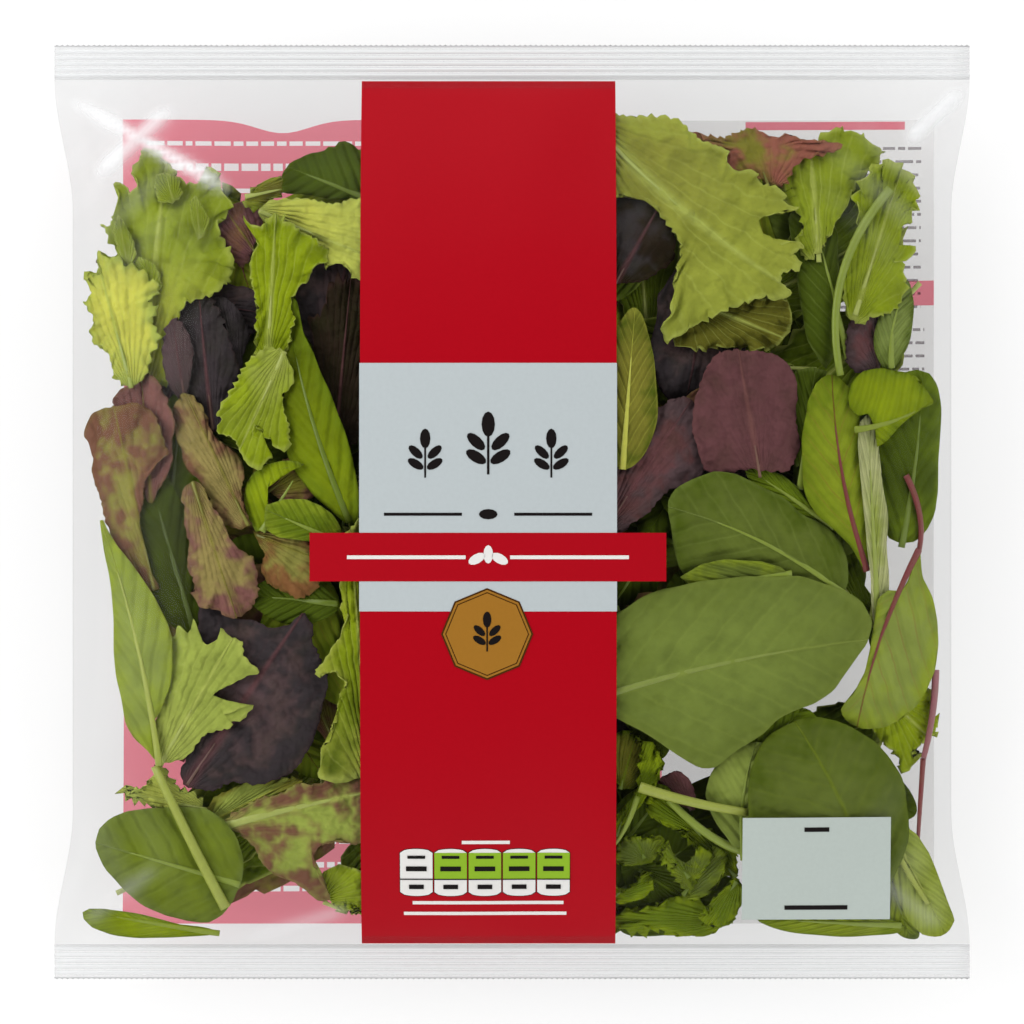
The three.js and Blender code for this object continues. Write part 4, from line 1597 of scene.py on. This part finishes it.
crowds = {
    "spinach_leaves": spinach,
    "chard_leaves": chard,
    "green_lettuce_leaves": green_lettuce,
    "red_lettuce_leaves": red_lettuce,
    "purple_leaves": purple_leaves,
}
stalks = list(free_stalks)
for crowd in crowds.values():
    for leaf in crowd:
        shade = leaf.vein if leaf.vein != "spinach back" else "stem green"
        stalks.append(Stalk(leaf.lay, None, leaf.stalk_radius, STALK_END_RADIUS, shade, leaf))
meshes = {name: grown(name, crowd, blade_grid) for name, crowd in crowds.items()}
meshes["stalks"] = grown("stalks", stalks, stalk_tube)
crowds["stalks"] = stalks
flat_points = {name: points_of(mesh) for name, mesh in meshes.items()}
laid_points = {name: points * 0 for name, points in flat_points.items()}
notes = {
    name: {
        "shade": np.zeros((len(points), 4)),
        "edge": np.zeros((len(points), 4)),
        "vein": np.zeros((len(points), 4)),
        "rim": np.zeros(len(points)),
        "spread": np.zeros(len(points)),
        "blade": np.zeros((len(points), 2)),
    }
    for name, points in flat_points.items()
}


def lay_leaf(name, leaf, pile):
    """Shapes a blade, lays it behind what is already there, and notes its colours."""
    s, t = flat_points[name][leaf.slice, :2].T
    across, along, sunk, rim = leaf.blade(s, t)
    x, y = kept_inside(*leaf.plan(across, along))
    depth = pile.under(x, y) + LAYER_GAP + leaf.sink + sunk - sunk.min()
    laid_points[name][leaf.slice] = np.column_stack((x, y, laid_height(x, y, depth, leaf.side)))
    written = notes[name]
    heart = np.clip(1 - along / leaf.length / leaf.heart_reach, 0, 1)[:, None] if leaf.heart else 0
    heart_shade = np.array(SHADES[leaf.heart or leaf.shade])
    written["shade"][leaf.slice] = heart * heart_shade + (1 - heart) * np.array(SHADES[leaf.shade])
    written["edge"][leaf.slice] = SHADES[leaf.edge]
    written["vein"][leaf.slice] = SHADES[leaf.vein]
    written["rim"][leaf.slice] = rim
    written["spread"][leaf.slice] = leaf.spread
    beside = (across - leaf.middle_line(along)) / leaf.width
    written["blade"][leaf.slice] = np.column_stack((0.5 + beside, along / leaf.length))
    leaf.rise = sunk.min()
    return x, y, depth + BLADE_THICKNESS


def lay_stalk(stalk, pile):
    """Bends a tube along its line, half sunk in its leaf."""
    points = flat_points["stalks"][stalk.slice]
    share = (points[:, 2] + 1) / 2
    radius = stalk.radius + (stalk.end_radius - stalk.radius) * share
    x, y = stalk.line(share)
    ahead_x, ahead_y = stalk.line(share + 0.01)
    size = np.hypot(ahead_x - x, ahead_y - y)
    beside_x, beside_y = (ahead_y - y) / size, -(ahead_x - x) / size
    depth = pile.under(x, y) + LAYER_GAP
    flatness = STEM_FLATNESS
    if stalk.leaf:
        on_blade = stalk.up_leaf(share) > 0
        middle = stalk.leaf.sink - stalk.leaf.rise
        depth = depth + np.maximum(middle - np.where(on_blade, STALK_SUNK, 0), 0)
        flatness = np.where(on_blade, RIB_FLATNESS, STEM_FLATNESS)
    else:
        depth = depth + stalk.radius
    x, y = kept_inside(x + points[:, 0] * radius * beside_x, y + points[:, 0] * radius * beside_y)
    z = laid_height(x, y, depth, stalk.side) + points[:, 1] * radius * flatness
    if stalk.side == FRONT:
        z = np.minimum(z, film_height(x, y, FRONT) - STALK_CLEARANCE)
    else:
        z = np.maximum(z, film_height(x, y, BACK) + STALK_CLEARANCE)
    laid_points["stalks"][stalk.slice] = np.column_stack((x, y, z))
    notes["stalks"]["shade"][stalk.slice] = SHADES[stalk.shade]
    return x, y, depth + radius


stalk_of = {stalk.leaf: stalk for stalk in stalks if stalk.leaf}
everything = [(name, member) for name, crowd in crowds.items() for member in crowd]
for side in (FRONT, BACK):
    pile = Pile()
    members = [entry for entry in everything if entry[1].side == side]
    for name, member in sorted(members, key=lambda entry: entry[1].lay):
        if name == "stalks":
            if not member.leaf:
                pile.press(*lay_stalk(member, pile))
            continue
        places = lay_leaf(name, member, pile)
        stem_places = lay_stalk(stalk_of[member], pile)
        pile.press(*stem_places)
        pile.press(*places)


def vein_pattern(leaf, cloud, fanned):
    """The rib's share, and counts that rise by one from vein to vein and from small vein to small vein."""
    blade = leaf.value("ShaderNodeUVMap", {"uv_map": "blade"}, {})
    parts = leaf.node("ShaderNodeSeparateXYZ", {}, {"Vector": blade})
    u = Value(leaf, parts.outputs["X"])
    v = Value(leaf, parts.outputs["Y"])
    beside = leaf.maths("ABSOLUTE", u - 0.5) * 2
    hand = leaf.maths("GREATER_THAN", u, 0.5)
    if fanned:
        turn = leaf.maths("ARCTAN2", beside, v + 0.08)
        count = turn * 5.5 + cloud * 0.9 + hand * 0.37
        fine_count = turn * 15 + cloud * 2 + v * 2
        rib = leaf.soft_step(beside, 0.13 - 0.11 * v, 0.0)
    else:
        count = (v - beside * 0.42) * 7 + cloud * 0.5 + hand * 0.5
        fine_count = (v + beside * 0.6) * 17 + cloud * 1.4
        rib = leaf.soft_step(beside, 0.07 - 0.055 * v, 0.0)
    return rib, count, fine_count


def leaf_finish(name, crinkle, quilting, vein_share, rim_paleness_and_highlight, roughness=0.5, fanned=True, mottle=1.3):
    """A leaf's surface: mottled colour that turns into the edge's, veins, and swellings between them."""
    leaf = Finish(name)
    place = leaf.place()
    cloud = leaf.noise(place, 130.0, 3.0)
    fine = leaf.noise(place, 900.0, 1.0)
    blisters = leaf.noise(place, 300.0, 1.0)
    rim = leaf.attribute("rim", "Fac")
    spread = leaf.attribute("spread", "Fac")
    rib, count, fine_count = vein_pattern(leaf, cloud, fanned)
    from_vein = leaf.maths("ABSOLUTE", leaf.maths("FRACT", count) - 0.5)
    vein = leaf.soft_step(from_vein, 0.09, 0.0) * (1 - 0.7 * rim)
    # A thin pale line round each leaf: partly its paler margin, partly a painted rim highlight.
    pale_rim_and_highlight = leaf.soft_step(rim, 0.9, 1.0) * rim_paleness_and_highlight
    from_small_vein = leaf.maths("ABSOLUTE", leaf.maths("FRACT", fine_count) - 0.5)
    small_vein = leaf.soft_step(from_small_vein, 0.16, 0.0) * (1 - rim)
    turned = rim + (cloud - 0.5) * mottle + (blisters - 0.5) * mottle * 0.5 + spread
    patch = leaf.soft_step(turned, 0.45, 1.45)
    base = leaf.blend(patch, leaf.attribute("shade"), leaf.attribute("edge"))
    base = leaf.blend(0.5 - 0.85 * cloud, base, (0.02, 0.03, 0.004, 1))
    marks = leaf.maths("MINIMUM", rib * 0.6 + vein * vein_share + small_vein * 0.08 + pale_rim_and_highlight, 0.9)
    base = leaf.blend(marks, base, leaf.attribute("vein"))
    swelling = leaf.soft_step(from_vein, 0.0, 0.4) * quilting
    relief = rib * 0.4 + swelling + (cloud + blisters * 0.7) * crinkle
    sockets = {
        "Base Color": base,
        "Roughness": roughness + 0.15 * fine,
        "Normal": leaf.bump(relief, 0.7, 0.0012),
        "Specular IOR Level": 0.03,
    }
    return leaf.surface(leaf.value("ShaderNodeBsdfPrincipled", {}, sockets))


def stalk_finish():
    """A pale stem with fine lines along it."""
    stem = Finish("stalk")
    place = stem.place()
    streak = stem.noise(place, 400.0, 2.0)
    base = stem.blend(streak * 0.35, stem.attribute("shade"), (0.1, 0.13, 0.02, 1))
    sockets = {"Base Color": base, "Roughness": 0.4, "Normal": stem.bump(streak, 0.4, 0.0004)}
    return stem.surface(stem.value("ShaderNodeBsdfPrincipled", {}, sockets))


def finished(name, material, thickness=BLADE_THICKNESS):
    """Writes a kind's places and notes to its mesh, and makes it a piece of the bag."""
    mesh = meshes[name]
    move_points(mesh, *laid_points[name].T)
    for note in ("shade", "edge", "vein"):
        written = mesh.attributes.new(note, "FLOAT_COLOR", "POINT")
        written.data.foreach_set("color", notes[name][note].ravel())
    for note in ("rim", "spread"):
        written = mesh.attributes.new(note, "FLOAT", "POINT")
        written.data.foreach_set("value", notes[name][note])
    corners = np.empty(len(mesh.loops), dtype=np.int32)
    mesh.loops.foreach_get("vertex_index", corners)
    mesh.uv_layers["blade"].data.foreach_set("uv", notes[name]["blade"][corners].ravel())
    piece = linked(name, mesh)
    if thickness:
        wall = piece.modifiers.new("leaf", "SOLIDIFY")
        wall.thickness = thickness * MM
        wall.offset = 0
    mesh.materials.append(material)
    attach(piece, "root")


spinach_look = leaf_finish(
    "spinach leaf", crinkle=1.3, quilting=0.65, vein_share=0.22, rim_paleness_and_highlight=0.25, fanned=False
)
chard_look = leaf_finish(
    "chard leaf", crinkle=1.1, quilting=0.8, vein_share=0.35, rim_paleness_and_highlight=0.0, fanned=False
)
green_look = leaf_finish(
    "green lettuce leaf", crinkle=3.0, quilting=0.45, vein_share=0.4, rim_paleness_and_highlight=0.55
)
red_look = leaf_finish(
    "red lettuce leaf", crinkle=3.2, quilting=0.35, vein_share=0.15, rim_paleness_and_highlight=0.2, mottle=2.8
)
purple_look = leaf_finish(
    "purple leaf", crinkle=4.2, quilting=0.3, vein_share=0.1, rim_paleness_and_highlight=0.1, roughness=0.6, mottle=3.0
)
finished("spinach_leaves", spinach_look)
finished("chard_leaves", chard_look)
finished("green_lettuce_leaves", green_look)
finished("red_lettuce_leaves", red_look)
finished("purple_leaves", purple_look)
finished("stalks", stalk_finish(), thickness=0)

# The bag lies on a plain pale floor in soft light from all round, with a large soft lamp at each side.
FLOOR_DROP = 0.3
FLOOR_REACH = 3
ground = bmesh.new()
bmesh.ops.create_grid(ground, x_segments=1, y_segments=1, size=FLOOR_REACH)
bmesh.ops.translate(ground, verts=ground.verts[:], vec=(0, 0, -FLOOR_DROP * MM))
ground_mesh = bpy.data.meshes.new("floor")
ground.to_mesh(ground_mesh)
ground.free()
floor = linked("floor", ground_mesh)
floor_look = Finish("pale floor")
floor_sockets = {
    "Base Color": (0.4, 0.4, 0.4, 1),
    "Roughness": 0.9,
    "Specular IOR Level": 0.0,
    "Emission Color": (1, 1, 1, 1),
    "Emission Strength": 0.64,
}
floor_surface = floor_look.value("ShaderNodeBsdfPrincipled", {}, floor_sockets)
floor.data.materials.append(floor_look.surface(floor_surface))

light_paths = bpy.context.scene.cycles
light_paths.use_light_tree = False
light_paths.max_bounces = 4
light_paths.diffuse_bounces = 2
light_paths.glossy_bounces = 1
light_paths.transmission_bounces = 0
light_paths.transparent_max_bounces = 12

LAMPS = (
    {"name": "left lamp", "place": (-1.5, 0.35, 0.95), "size": 1.5, "power": 18, "mirrored": True},
    {"name": "right lamp", "place": (1.5, 0.2, 0.8), "size": 1.4, "power": 8, "mirrored": False},
    {"name": "top lamp", "place": (-0.35, 1.5, 1.0), "size": 1.6, "power": 8, "mirrored": True},
    {"name": "low lamp", "place": (0.2, -1.5, 0.9), "size": 1.6, "power": 8, "mirrored": False},
)
for lamp in LAMPS:
    light = bpy.data.lights.new(lamp["name"], "AREA")
    light.size = lamp["size"]
    light.energy = lamp["power"]
    made = bpy.data.objects.new(lamp["name"], light)
    made.location = lamp["place"]
    made.visible_glossy = lamp["mirrored"]
    x, y, z = lamp["place"]
    made.rotation_euler = (math.atan2(math.hypot(x, y), z), 0, math.atan2(x, -y))
    bpy.context.scene.collection.objects.link(made)

# The sky is brightest near the horizon, so that the film's middle has no glare.
SKY_AT_HORIZON = 0.85
SKY_OVERHEAD = 0.2
sky = bpy.data.worlds.new("sky")
sky_look = Finish("sky", sky)
toward = sky_look.value("ShaderNodeTexCoord", {}, {}, "Generated")
rise = sky_look.value("ShaderNodeSeparateXYZ", {}, {"Vector": toward}, "Z")
strength = SKY_AT_HORIZON + (SKY_OVERHEAD - SKY_AT_HORIZON) * sky_look.soft_step(rise, 0.45, 0.95)
glow = sky_look.value("ShaderNodeBackground", {}, {"Color": (1, 1, 1, 1), "Strength": strength})
bpy.context.scene.world = sky_look.surface(glow, "ShaderNodeOutputWorld")
bpy.context.scene.view_settings.view_transform = "Standard"
